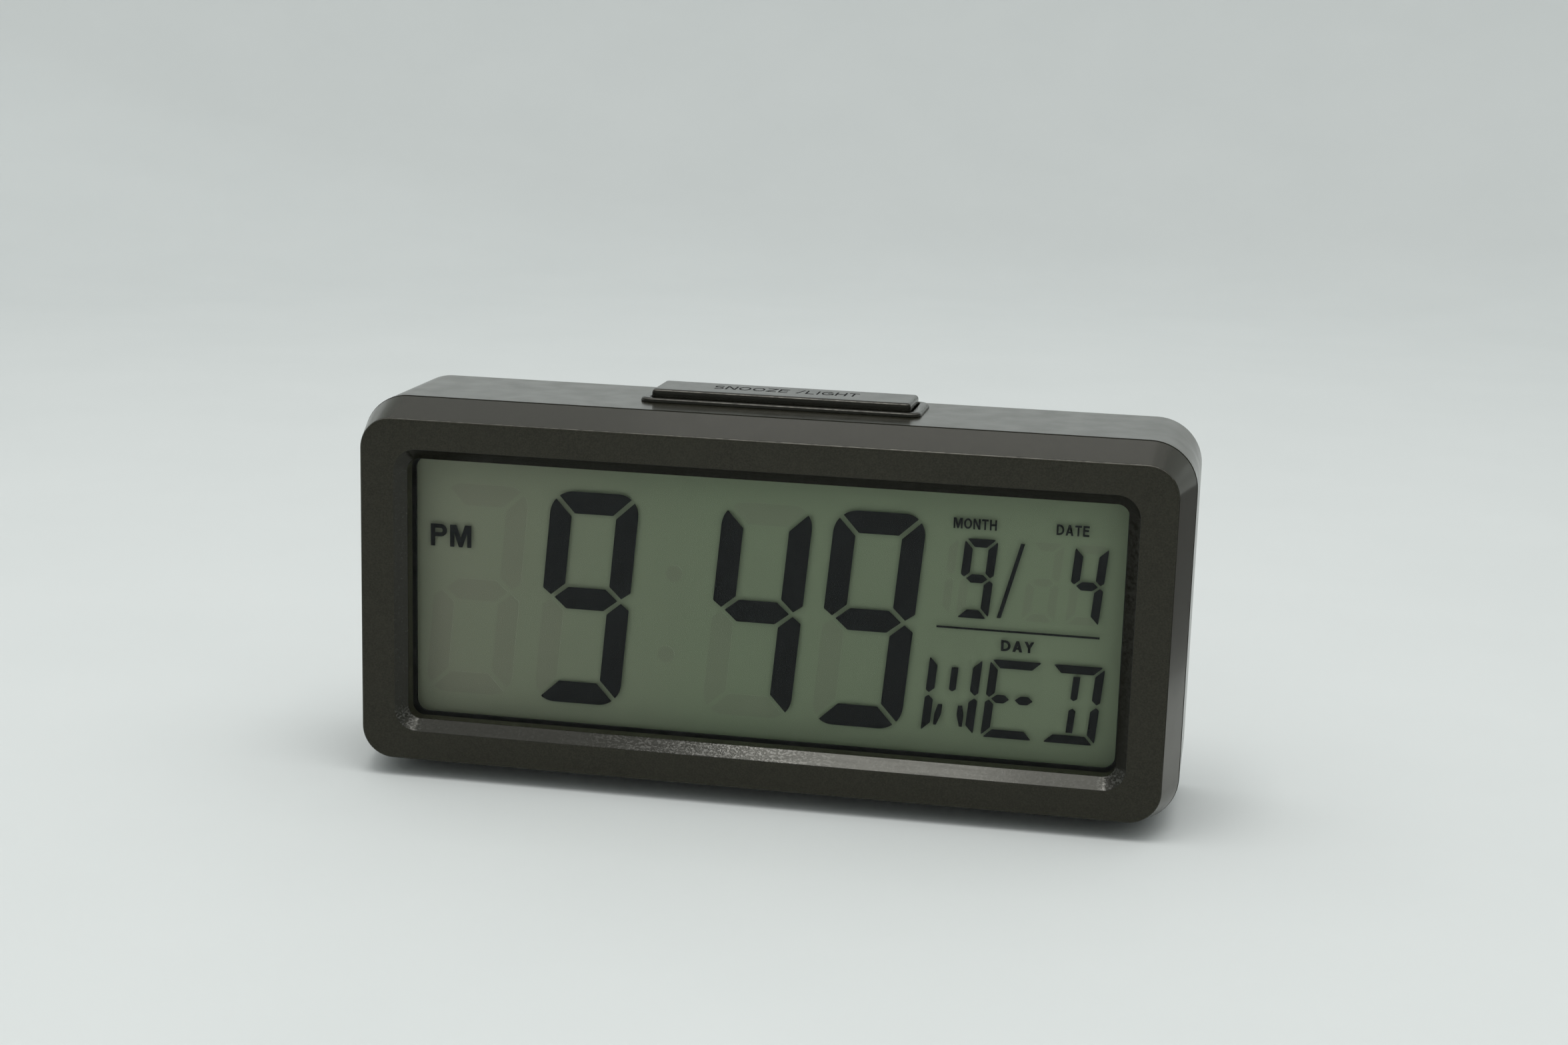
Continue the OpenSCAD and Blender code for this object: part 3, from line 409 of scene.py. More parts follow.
class Look:
    """A Principled material with short calls for the nodes that feed it."""

    def __init__(self, name, roughness=0.5, metallic=0.0, ior=1.45, coat=0.0, coat_roughness=0.1):
        self.material = bpy.data.materials.new(name)
        self.material.use_nodes = True
        self.tree = self.material.node_tree
        self.shader = self.tree.nodes["Principled BSDF"]
        self.place = self.add("ShaderNodeTexCoord").outputs["Object"]
        values = {"Roughness": roughness, "Metallic": metallic, "IOR": ior,
                  "Coat Weight": coat, "Coat Roughness": coat_roughness}
        for socket, value in values.items():
            self.shader.inputs[socket].default_value = value

    def add(self, kind, **values):
        """New node; each value goes to the node's setting or input of that name."""
        made = self.tree.nodes.new(kind)
        for key, value in values.items():
            if hasattr(made, key):
                setattr(made, key, value)
            else:
                made.inputs[key].default_value = value
        return made

    def join(self, source, target):
        self.tree.links.new(source, target)

    def along(self, axis):
        """Distance along X, Y or Z from the point under the middle of the clock."""
        parts = self.add("ShaderNodeSeparateXYZ")
        self.join(self.place, parts.inputs[0])
        return parts.outputs[axis]

    def away(self, axis, middle=0.0):
        """Distance either way along an axis from middle."""
        return self.sums("ABSOLUTE", self.sums("ADD", self.along(axis), -middle), 0)

    def stretched(self, stretch):
        """Object coordinates times stretch; a share under 1 draws a pattern out along that axis."""
        scaled = self.add("ShaderNodeVectorMath", operation="MULTIPLY")
        scaled.inputs[1].default_value = stretch
        self.join(self.place, scaled.inputs[0])
        return scaled.outputs[0]

    def noise(self, size, detail=2.0, stretch=(1, 1, 1)):
        """Noise from 0 to 1 whose blotches are about size across."""
        made = self.add("ShaderNodeTexNoise", Scale=1 / size, Detail=detail)
        self.join(self.stretched(stretch), made.inputs["Vector"])
        return made.outputs["Fac"]

    def cells(self, size, output="Color"):
        """Random tone of each cell about size across, or the distance from its middle."""
        made = self.add("ShaderNodeTexVoronoi", Scale=1 / size)
        self.join(self.place, made.inputs["Vector"])
        return made.outputs[output]

    def between(self, value, low, high, to_low=0.0, to_high=1.0):
        """Straight ramp from to_low to to_high while value goes from low to high, level outside."""
        made = self.add("ShaderNodeMapRange")
        numbers = {"From Min": low, "From Max": high, "To Min": to_low, "To Max": to_high}
        for socket, number in numbers.items():
            made.inputs[socket].default_value = number
        self.join(value, made.inputs["Value"])
        return made.outputs["Result"]

    def blend(self, share, low, high):
        """Colour from low to high by share; each is a colour or a socket."""
        made = self.add("ShaderNodeMix", data_type="RGBA")
        self.join(share, made.inputs["Factor"])
        for socket, colour in ((made.inputs[6], low), (made.inputs[7], high)):
            if isinstance(colour, tuple):
                socket.default_value = (*colour, 1)
            else:
                self.join(colour, socket)
        return made.outputs[2]

    def sums(self, operation, a, b):
        """Math node on socket a and on b, which is a socket or a number."""
        made = self.add("ShaderNodeMath", operation=operation)
        self.join(a, made.inputs[0])
        if isinstance(b, (int, float)):
            made.inputs[1].default_value = b
        else:
            self.join(b, made.inputs[1])
        return made.outputs[0]

    def bump(self, height, distance, strength=1.0, under=None):
        """Relief of height times distance, on top of the normal under."""
        made = self.add("ShaderNodeBump", Strength=strength, Distance=distance)
        self.join(height, made.inputs["Height"])
        if under is not None:
            self.join(under, made.inputs["Normal"])
        return made.outputs["Normal"]

    def finish(self, colour, roughness=None, normal=None):
        """Feeds the shader and returns the material."""
        for name, socket in (("Base Color", colour), ("Roughness", roughness), ("Normal", normal)):
            if socket is not None:
                self.join(socket, self.shader.inputs[name])
        return self.material


def lacquer(name, dark, light, roughness, dust):
    """Metallic lacquer on a moulding: flakes, faint clouds, orange peel, hairlines and dust specks.

    dust is the share of the cells, each speck_gap across, that hold a speck.
    """
    speck_gap = 5 * MM
    dust_grey = (0.5, 0.5, 0.48)
    look = Look(name, roughness, metallic=0.3, ior=1.34, coat=0.1, coat_roughness=0.08)
    look.shader.inputs["Specular Tint"].default_value = (1.0, 0.96, 0.9, 1)
    colour = look.blend(look.between(look.cells(FLAKE), 0.15, 0.85), dark, light)
    colour = look.blend(look.between(look.noise(9 * MM, 3), 0.3, 0.7, 0.0, 0.3), colour, light)
    specks = look.between(look.cells(speck_gap, "Distance"), 0.018, 0.026, 1.0, 0.0)
    chosen = look.between(look.cells(speck_gap), 1 - dust, 1.02 - dust)
    colour = look.blend(look.sums("MULTIPLY", specks, chosen), colour, dust_grey)
    rough = look.between(look.noise(5 * MM, 3), 0.3, 0.7, roughness - 0.03, roughness + 0.03)
    hairlines = look.between(look.noise(0.6 * MM, 2, stretch=(0.03, 0.5, 1.0)), 0.71, 0.75)
    normal = look.bump(look.noise(0.7 * MM, 2), 0.0012 * MM)
    return look.finish(colour, rough, look.bump(hairlines, 0.002 * MM, 0.4, normal))


def scuffed_lacquer_with_painted_glints(name, dark, light, roughness):
    """The same lacquer on the sloping window border: streaks along it, and light flecks in its colour.

    The flecks lie in a patch on the lower border, left of its middle, where they are partly real scuffs and
    partly a painted glint of the highlight, and in its two end corners, where they are a painted highlight.
    """
    # Colour of the light flecks: partly real scuffs, partly a painted glint of the highlight.
    painted_glint = (0.07, 0.0685, 0.061)
    patch_x = -8 * MM
    look = Look(name, roughness, metallic=0.5, ior=1.5)
    flakes = look.noise(0.28 * MM, 1)
    streaks = look.noise(0.5 * MM, 3, stretch=(0.05, 1, 1))
    height = look.along("Z")
    # The border's two lower end corners, where the flecks paint the corners' highlight.
    ends = look.sums("MULTIPLY", look.between(look.away("X"), 60.8 * MM, 62.6 * MM),
                     look.between(height, 11.5 * MM, 13.5 * MM, 1.0, 0.0))
    # Adding up to a metre above the lower border puts every other side far from the patch.
    higher_up = look.between(height, 15 * MM, 25 * MM, 0.0, 1.0)
    from_patch = look.sums("ADD", look.away("X", patch_x), higher_up)
    # Where the flecks fall; blended into the colour below as painted glints, partly also real scuffs.
    scuff_and_glint_flecks = look.between(look.noise(0.32 * MM, 2, stretch=(0.6, 1, 1)), 0.5, 0.6)
    where = look.sums("MAXIMUM", look.between(from_patch, 8 * MM, 24 * MM, 1.0, 0.12), ends)
    colour = look.blend(look.between(look.cells(FLAKE), 0.15, 0.85), dark, light)
    colour = look.blend(look.sums("MULTIPLY", scuff_and_glint_flecks, where), colour, painted_glint)
    rough = look.between(streaks, 0.35, 0.65, roughness - 0.04, roughness + 0.06)
    rough = look.sums("ADD", rough, look.between(ends, 0, 1, 0, 0.1))
    relief = look.between(from_patch, 10 * MM, 20 * MM, 0.007 * MM, 0.0025 * MM)
    normal = look.bump(streaks, 0.003 * MM)
    normal = look.bump(look.sums("MULTIPLY", flakes, relief), 1.0, 1.0, normal)
    return look.finish(colour, rough, normal)


def edge_highlight_lacquer(name, dark, light, roughness):
    """The same lacquer along an edge, lighter in uneven streaks: a painted highlight line on the edge's
    fillet.
    """
    look = Look(name, roughness, metallic=0.5, ior=1.5)
    highlight_breakup = look.between(look.noise(1.2 * MM, 4), 0.35, 0.6)
    normal = look.bump(look.noise(0.4 * MM, 2), 0.002 * MM)
    rough = look.between(highlight_breakup, 0, 1, roughness + 0.1, roughness)
    return look.finish(look.blend(highlight_breakup, dark, light), rough, normal)


def display_film(name, shade=(1, 1, 1)):
    """Grey-green diffusing film, warmer towards the left end; shade multiplies its red, green and blue."""
    look = Look(name, 0.75, ior=1.2)
    green = tuple(c * k for c, k in zip(LCD_GREEN, shade))
    warm = tuple(c * k for c, k in zip(LCD_WARM, shade))
    waver = look.between(look.noise(30 * MM, 2), 0, 1, 0, 25 * MM)
    share = look.between(look.sums("ADD", look.along("X"), waver), -45 * MM, 5 * MM)
    rough = look.between(look.noise(2 * MM, 2), 0.3, 0.7, 0.7, 0.8)
    haze = look.bump(look.noise(0.3 * MM, 2), 0.0003 * MM)
    return look.finish(look.blend(share, warm, green), rough, haze)


def moulded_plastic(name, dark, light, roughness, depth=0.002 * MM, ior=1.46, coat=0.0):
    """Plain moulded plastic, rubber, resin or film: two close tones, spark-eroded texture, uneven gloss."""
    spread = 0.06
    look = Look(name, roughness, ior=ior, coat=coat)
    colour = look.blend(look.between(look.noise(3 * MM, 4), 0.3, 0.7), dark, light)
    rough = look.between(look.noise(1.6 * MM, 3), 0.3, 0.7, roughness - spread, roughness + spread)
    return look.finish(colour, rough, look.bump(look.noise(0.3 * MM, 2), depth))


def metal(name, dark, light, roughness, stretch=(1, 1, 1)):
    """Bare or plated metal with drawn or rolled streaks and patches of tarnish."""
    look = Look(name, roughness, metallic=1.0)
    streaks = look.noise(0.4 * MM, 3, stretch)
    colour = look.blend(look.between(look.noise(2.5 * MM, 4), 0.35, 0.65), dark, light)
    rough = look.between(streaks, 0.3, 0.7, roughness - 0.08, roughness + 0.12)
    return look.finish(colour, rough, look.bump(streaks, 0.006 * MM))


def clear_layer(name, tint, ior):
    """Clear sheet that lets light straight through and mirrors a little, with faint smears in its gloss."""
    haze = 0.04
    look = Look(name)
    tree = look.tree
    tree.nodes.remove(look.shader)
    passing = look.add("ShaderNodeBsdfTransparent", Color=(*tint, 1))
    gloss = look.add("ShaderNodeBsdfGlossy", Color=(1, 1, 1, 1))
    look.join(look.between(look.noise(7 * MM, 3), 0.35, 0.75, haze, haze * 3), gloss.inputs["Roughness"])
    look.join(look.bump(look.noise(16 * MM, 1), 0.002 * MM), gloss.inputs["Normal"])
    fresnel = look.add("ShaderNodeFresnel", IOR=ior)
    both = look.add("ShaderNodeMixShader")
    look.join(fresnel.outputs[0], both.inputs[0])
    look.join(passing.outputs[0], both.inputs[1])
    look.join(gloss.outputs[0], both.inputs[2])
    look.join(both.outputs[0], tree.nodes["Material Output"].inputs["Surface"])
    return look.material


# One look for each material slot of the record; colours are linear RGB.
LOOKS = {
    "case_plastic": lacquer("case_lacquer", BRONZE_DARK, BRONZE_LIGHT, 0.22, dust=0.12),
    "trim_plastic": lacquer("trim_lacquer", TRIM_DARK, TRIM_LIGHT, 0.22, dust=0.06),
    "key_plastic": moulded_plastic("key_plastic", (0.022, 0.021, 0.019), (0.034, 0.033, 0.030), 0.42),
    "rubber": moulded_plastic("foot_rubber", (0.012, 0.012, 0.012), (0.026, 0.026, 0.026), 0.78,
                              depth=0.01 * MM),
    "foam": moulded_plastic("gasket_foam", (0.008, 0.008, 0.008), (0.02, 0.02, 0.02), 0.9, depth=0.02 * MM),
    "screw_steel": metal("screw_steel", (0.42, 0.41, 0.39), (0.62, 0.61, 0.58), 0.34),
    "window_acrylic": clear_layer("window_acrylic", (0.985, 0.99, 0.985), 1.14),
    "polarizer_film": clear_layer("polarizer_film", (0.95, 0.96, 0.95), 1.1),
    "display_glass": clear_layer("display_glass", (0.97, 0.985, 0.975), 1.05),
    "segment_ink": moulded_plastic("segment_ink", (0.0085, 0.0095, 0.0105), (0.0105, 0.0115, 0.0125), 0.6,
                                   depth=0.0001 * MM, ior=1.2),
    "seal_resin": moulded_plastic("seal_resin", (0.008, 0.008, 0.008), (0.018, 0.018, 0.017), 0.25),
    "reflector": display_film("reflector_film"),
    "light_guide": moulded_plastic("light_guide", (0.62, 0.67, 0.63), (0.74, 0.78, 0.75), 0.2, coat=0.5),
    "led": moulded_plastic("led_phosphor", (0.75, 0.62, 0.2), (0.85, 0.8, 0.5), 0.3),
    "white_plastic": moulded_plastic("white_plastic", (0.68, 0.68, 0.65), (0.8, 0.8, 0.78), 0.45),
    "board": moulded_plastic("board_mask", (0.012, 0.09, 0.03), (0.03, 0.17, 0.06), 0.3, coat=0.4),
    "component": moulded_plastic("component", (0.05, 0.04, 0.03), (0.12, 0.1, 0.07), 0.5),
    "plated_metal": metal("nickel_plate", (0.55, 0.54, 0.5), (0.74, 0.73, 0.7), 0.24),
    "spring_steel": metal("spring_wire", (0.42, 0.42, 0.41), (0.64, 0.64, 0.62), 0.28, (1, 1, 6)),
    "switch_plastic": moulded_plastic("switch_plastic", (0.015, 0.015, 0.015), (0.035, 0.035, 0.034), 0.4),
    "plunger_plastic": moulded_plastic("plunger_plastic", (0.32, 0.07, 0.03), (0.45, 0.11, 0.05), 0.42),
    "brass": metal("rolled_brass", (0.58, 0.42, 0.16), (0.78, 0.6, 0.27), 0.26, (0.1, 1, 1)),
    "ceramic": metal("silvered_ceramic", (0.62, 0.62, 0.6), (0.78, 0.78, 0.76), 0.5),
    "cell_sleeve": moulded_plastic("cell_sleeve", (0.03, 0.075, 0.19), (0.04, 0.1, 0.25), 0.24, coat=0.6),
    "wire_red": moulded_plastic("red_insulation", (0.35, 0.012, 0.01), (0.5, 0.03, 0.02), 0.4),
    "wire_black": moulded_plastic("black_insulation", (0.01, 0.01, 0.01), (0.025, 0.025, 0.025), 0.42),
    "wire_yellow": moulded_plastic("yellow_insulation", (0.45, 0.32, 0.03), (0.6, 0.46, 0.06), 0.4),
}
# The window border's lacquer, with light flecks painted in as glints of the highlight.
BEVEL_LOOK = scuffed_lacquer_with_painted_glints("bevel_lacquer", BRONZE_DARK, (0.019, 0.0186, 0.0135), 0.115)
PAINT_BLACK = moulded_plastic("letter_paint", (0.008, 0.008, 0.008), (0.014, 0.014, 0.014), 0.8, ior=1.2)
PAINT_GREY = moulded_plastic("legend_paint", (0.30, 0.30, 0.28), (0.36, 0.36, 0.34), 0.5)
IDLE_INK = display_film("idle_segments", (0.95, 0.91, 0.94))
# Lighter lacquer for thin bands of the upper edge fillets: a painted highlight line.
EDGE_HIGHLIGHT_LOOK = edge_highlight_lacquer("painted_edge_highlight", (0.03, 0.0295, 0.024), (0.09, 0.086, 0.074), 0.3)

for part in frame["record"]["subparts"]:
    node = frame["nodes"][part["node"]]
    for slot in node.material_slots:
        slot.material = LOOKS[part["material_slot"]]

# ---------- front bezel ----------


def make_bezel():
    """Front frame: tapered rim, sloping window border, lens seat, tongue into the rear case, screw posts.

    The painted highlight line is only on the upper edges: material 2 goes back to 0 below a height a little
    under the top of the case.
    """
    window = (WINDOW_HALF_W, WINDOW_HALF_H, WINDOW_R)
    case = (HALF_W, HALF_H, CORNER_R)
    lens_y = lens_low.y - FRONT_Y
    lens_grow = lens_high.x - WINDOW_HALF_W + LENS_GAP
    rim_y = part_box("window_gasket")[1].y - FRONT_Y
    parting = PARTING_Y - FRONT_Y
    gap = 0.05 * MM
    shadow = -0.75 * MM
    tongue = -WALL - 0.1 * MM
    tongue_y = parting + 1.6 * MM
    cavity = tongue - 1.2 * MM
    plate = 2.2 * MM
    foot_fillet = 0.22 * MM
    lip_fillet = 0.28 * MM
    face_fillet = 0.55 * MM
    parting_fillet = 0.3 * MM
    highlight_z = MID_Z + HALF_H - TAPER - 2 * MM
    inside = soften([
        (lens_grow + RIM_T, plate, 0), (lens_grow + RIM_T, rim_y, 0), (lens_grow, rim_y, 0),
        (lens_grow, lens_y, 0), (0, lens_y, 0), (0, BEVEL_DEPTH, foot_fillet), (BEVEL, 0, lip_fillet),
        (BEVEL + 1.2 * MM, 0, 0)])
    outside = soften([
        (-TAPER - 1.6 * MM, 0, 0), (-TAPER, 0, face_fillet), (-0.02 * MM, parting - gap, parting_fillet),
        (shadow, parting - gap, 0), (shadow, parting, 0), (tongue, parting, 0), (tongue, tongue_y, 0),
        (cavity, tongue_y, 0), (cavity, parting, 0), (cavity - 1.1 * MM, plate, 0)])
    bm = bmesh.new()
    faces = add_loft(bm, rings(window, inside, from_front) + rings(case, outside, from_front), closed=True)
    mark(faces, inside, 1, 0.03 * MM, BEVEL_DEPTH * 1.02)
    # One band of the face fillet and one of the parting fillet get the painted highlight line.
    mark(faces, inside + outside, 2, 0.2 * MM, 0.32 * MM, len(inside))
    mark(faces, inside + outside, 2, parting - gap - 0.22 * MM, parting - gap - 0.02 * MM, len(inside))
    for face in faces:
        if face.material_index == 2 and face.calc_center_median().z < highlight_z:
            face.material_index = 0
    case_post = {"r": 2.6 * MM, "bore_r": 1.2 * MM, "top_y": 20 * MM, "bore_y": 12 * MM}
    board_post = {"r": 2.2 * MM, "bore_r": 0.9 * MM, "top_y": 14 * MM, "bore_y": 6 * MM}
    for sx in (-1, 1):
        for sz in (-1, 1):
            add_post(bm, sx * (HALF_W - 6.7 * MM), sz * (HALF_H - 5.95 * MM), **case_post)
            add_post(bm, sx * (HALF_W - 5.6 * MM), sz * 14 * MM, **board_post)
    bezel = new_object("bezel_moulding", bm, [LOOKS["case_plastic"], BEVEL_LOOK, EDGE_HIGHLIGHT_LOOK], smooth=32)
    return stand_for(bezel, "root", "front_bezel", slot="case_plastic")


def add_post(bm, x, z, r, bore_r, top_y, bore_y):
    """Screw post behind the front plate, with a blind bore; (x, z) is measured from the case's middle."""
    chamfer = 0.3 * MM
    profile = [(r, 1.4 * MM), (r, top_y - chamfer), (r - chamfer, top_y), (bore_r, top_y), (bore_r, bore_y)]
    add_lathe(bm, profile, lambda u, v, d: from_front(x + u, z + v, d), 28)


make_bezel()

# ---------- rear case ----------


def case_edge_share(point):
    """The rim that meets the bezel is crisper than the other edges."""
    return 0.25 if point.y < PARTING_Y + 0.1 * MM else 1


moulded("case_moulding", "rear_case", [LOOKS["case_plastic"]], 0.28 * MM, share=case_edge_share)

# ---------- snooze bar and its surround ----------


def make_surround():
    """Raised frame round the snooze bar, with a flange wider at its ends and a skirt down into the case."""
    hole_w = button_high.x - LIP + 0.25 * MM
    hole_d = (button_high.y - button_low.y) / 2 - LIP + 0.25 * MM
    flange = surround_high.x - hole_w
    flange_d = (surround_high.y - surround_low.y) / 2 - hole_d
    low = surround_low.z - TOP_Z
    high = surround_high.z - TOP_Z
    base = (hole_w, hole_d, 0.9 * MM)
    path = soften([
        (0, low, 0), (0, high, 0.22 * MM), (flange_d, high, 0.6 * MM), (flange_d, 0.05 * MM, 0),
        (0.95 * MM, 0.05 * MM, 0), (0.95 * MM, low, 0)])
    bm = bmesh.new()
    made = rings(base, path, from_top)
    extra = flange - flange_d
    for ring, (grow, depth) in zip(made, path):
        reach = max(0, grow / flange_d)
        for p in ring:
            p.x += math.copysign(extra * reach, p.x)
    faces = add_loft(bm, made, closed=True)
    # Material 1 on one band of the flange's front-top fillet: a painted highlight line.
    mark(faces, path, 1, high - 0.24 * MM, high - 0.12 * MM, 5)
    surround = new_object("snooze_surround_moulding", bm, [LOOKS["trim_plastic"], EDGE_HIGHLIGHT_LOOK], smooth=32)
    return stand_for(surround, "root", "snooze_surround", slot="trim_plastic")


def make_button():
    """Snooze bar: hollow cap with a lip that keeps it in, a stem on the switch, and two spring cups."""
    half_w = button_high.x - LIP
    half_d = (button_high.y - button_low.y) / 2 - LIP
    low = button_low.z - TOP_Z
    print_t = 0.015 * MM
    high = button_high.z - TOP_Z - print_t
    base = (half_w, half_d, 0.9 * MM)
    wall = 1.4 * MM
    lip_top = low + 1.2 * MM
    stem_r = 2.4 * MM
    cup_r = 3.1 * MM
    spring_u = 18.5 * MM
    path = soften([
        (-wall, high - wall, 0), (-wall, low, 0), (LIP, low, 0), (LIP, lip_top, 0), (0, lip_top, 0),
        (0, high, 0.7 * MM), (-2.4 * MM, high, 0)])
    bm = bmesh.new()
    # Material 1 on one band of the bar's front-top fillet: a painted highlight line.
    mark(add_loft(bm, rings(base, path, from_top)), path, 1, high - 0.26 * MM, high - 0.15 * MM)
    under = high - wall + 0.2 * MM
    add_lathe(bm, [(stem_r, under), (stem_r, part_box("snooze_plunger")[1].z - TOP_Z)], from_top, 32)
    for side in (-spring_u, spring_u):
        cup = [(cup_r, under), (cup_r, low + 0.05 * MM)]
        add_lathe(bm, cup, lambda u, v, d: from_top(u + side, v, d), 32)
    button = new_object("snooze_bar", bm, [LOOKS["trim_plastic"], EDGE_HIGHLIGHT_LOOK], smooth=32)
    stand_for(button, "snooze", "snooze_button", slot="trim_plastic")
    words = lettering("snooze_letters", "SNOOZE /LIGHT", PAINT_BLACK,
                      lambda u, v, d: from_top(u, v, high + d),
                      -13.35 * MM, 13.35 * MM, -1.1 * MM, 2.3 * MM, print_t, 0.12)
    return stand_for(words, "snooze", slot="trim_plastic")


make_surround()
make_button()

# ---------- keys, slide and back legends ----------


def make_key(name, node, body):
    """Key cap with a retaining flange inside the case and a slightly dished face."""
    low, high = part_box(node)
    u = (low.x + high.x) / 2
    v = (low.z + high.z) / 2 - MID_Z
    proud = high.y - BACK_Y
    flange = 0.9 * MM
    base = ((high.x - low.x) / 2 - flange, (high.z - low.z) / 2 - flange, 1.2 * MM)
    start = low.y - BACK_Y
    path = soften([
        (flange, start, 0), (flange, start + 1.1 * MM, 0), (0, start + 1.1 * MM, 0), (0, proud, 0.35 * MM),
        (-1.0 * MM, proud, 0.5 * MM), (-1.9 * MM, proud - 0.18 * MM, 0)])
    bm = bmesh.new()
    add_loft(bm, rings(base, path, lambda a, b, d: from_back(u + a, v + b, d)))
    key = new_object(name, bm, [LOOKS["key_plastic"]], smooth=50)
    return stand_for(key, body, node, slot="key_plastic")


for role in ("set", "up", "down", "mode"):
    make_key(f"key_cap_{role}", f"key_{role}", f"{role}_key")


def back_text(name, text, u, v, height, width):
    """Raised print on the back face, read from behind."""
    words = lettering(name, text, PAINT_GREY, lambda a, b, d: from_back(u - a, v + b, d),
                      -width / 2, width / 2, -height / 2, height / 2, 0.02 * MM)
    return stand_for(words, "root", slot="key_plastic")


KEY_V = 13 * MM
ABOVE_KEYS = KEY_V + 5.2 * MM
BACK_LEGENDS = (
    ("set", "SET", -27, ABOVE_KEYS, 1.6, 4.6), ("up", "+", -9, ABOVE_KEYS, 1.6, 1.6),
    ("down", "-", 9, ABOVE_KEYS, 1.6, 1.6), ("mode", "MODE", 27, ABOVE_KEYS, 1.6, 6.2),
    ("alarm", "ALARM", 45, ABOVE_KEYS, 1.6, 7.4), ("on", "ON", 50.6, KEY_V, 1.3, 2.6),
    ("off", "OFF", 39.2, KEY_V, 1.3, 3.4))
for role, text, u, v, height, width in BACK_LEGENDS:
    back_text(f"legend_{role}", text, u * MM, v, height * MM, width * MM)

moulded("alarm_slide_cap", "alarm_slide_knob", [LOOKS["key_plastic"]], 0.12 * MM)

# ---------- battery door, cells, feet and screws ----------

moulded("door_moulding", "battery_door", [LOOKS["case_plastic"]], 0.2 * MM, angle=50)


def make_door_ribs():
    """Five grip ribs across the door below the finger scoop, each shorter than the one above."""
    rib = 0.32 * MM
    path = soften([(0, -0.3 * MM, 0), (0, rib, 0.22 * MM), (-0.2 * MM, rib, 0)])
    bm = bmesh.new()
    for i in range(5):
        v = door_high.z - MID_Z - (6.2 + 1.3 * i) * MM
        half = (7.5 - 0.9 * i) * MM
        add_loft(bm, rings((half, rib, 0.3 * MM), path, lambda a, b, d: from_back(a, v + b, d)))
    ribs = new_object("door_ribs", bm, [LOOKS["case_plastic"]], smooth=50)
    return stand_for(ribs, "door", slot="case_plastic")


make_door_ribs()


def make_cell(name, node, sign):
    """AAA cell with rim, shrink sleeve, grey band and raised contact; sign 1 puts the flat end at low X."""
    low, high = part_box(node)
    y = (low.y + high.y) / 2
    z = (low.z + high.z) / 2
    r = (high.z - low.z) / 2
    span = high.x - low.x
    start = low.x if sign > 0 else high.x
    crimp = span - 1.25 * MM
    well = span - 1.45 * MM
    band_from = span - 9 * MM
    band_to = span - 7.5 * MM

    def along(u, v, d):
        return Vector((start + sign * d, y + u, z + v))

    profile = soften([
        (0.3 * MM, 0.12 * MM, 0), (3.2 * MM, 0.12 * MM, 0), (3.6 * MM, 0.35 * MM, 0),
        (4.2 * MM, 0.35 * MM, 0), (4.5 * MM, 0, 0.1 * MM), (r - 0.12 * MM, 0, 0.1 * MM),
        (r - 0.12 * MM, 0.5 * MM, 0), (r, 0.55 * MM, 0), (r, band_from, 0), (r, band_to, 0),
        (r, span - 1.9 * MM, 0.35 * MM), (r - 0.9 * MM, crimp, 0.2 * MM), (r - 1.3 * MM, crimp, 0),
        (r - 1.4 * MM, well, 0), (2.4 * MM, well, 0), (1.95 * MM, span - 1.1 * MM, 0.2 * MM),
        (1.9 * MM, span, 0.3 * MM), (0.3 * MM, span, 0)], 3)
    bm = bmesh.new()
    faces = add_lathe(bm, profile, along)
    for face in faces:
        centre = face.calc_center_median()
        d = abs(centre.x - start)
        off_axis = math.hypot(centre.y - y, centre.z - z)
        sleeve = 0.45 * MM < d < span - 1.2 * MM and off_axis > r - 1.35 * MM
        band = band_from < d < band_to and off_axis > r - 0.1 * MM
        face.material_index = 2 if band else 1 if sleeve else 0
    cell = new_object(name, bm, [LOOKS["plated_metal"], LOOKS["cell_sleeve"], PAINT_GREY], smooth=32)
    return stand_for(cell, "root", node, slot="cell_sleeve")


make_cell("cell_upper", "battery_upper", 1)
make_cell("cell_lower", "battery_lower", -1)


def make_feet():
    """Four round rubber feet with a shallow hollow underneath."""
    low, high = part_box("rubber_feet")
    r = 4 * MM
    height = high.z - low.z
    profile = soften([(r, height, 0), (r, 0.0, 0.3 * MM), (r - 1.2 * MM, 0, 0.1 * MM),
                      (r - 1.5 * MM, 0.12 * MM, 0), (0.2 * MM, 0.12 * MM, 0)], 4)
    bm = bmesh.new()
    for x in (low.x + r, high.x - r):
        for y in (low.y + r, high.y - r):
            add_lathe(bm, profile, lambda u, v, d: Vector((x + u, y + v, low.z + d)), 40)
    feet = new_object("feet", bm, [LOOKS["rubber"]], smooth=40)
    return stand_for(feet, "root", "rubber_feet", slot="rubber")


make_feet()
moulded("case_screw_heads", "case_screws", [LOOKS["screw_steel"]], 0.12 * MM, angle=50)

# ---------- display ----------


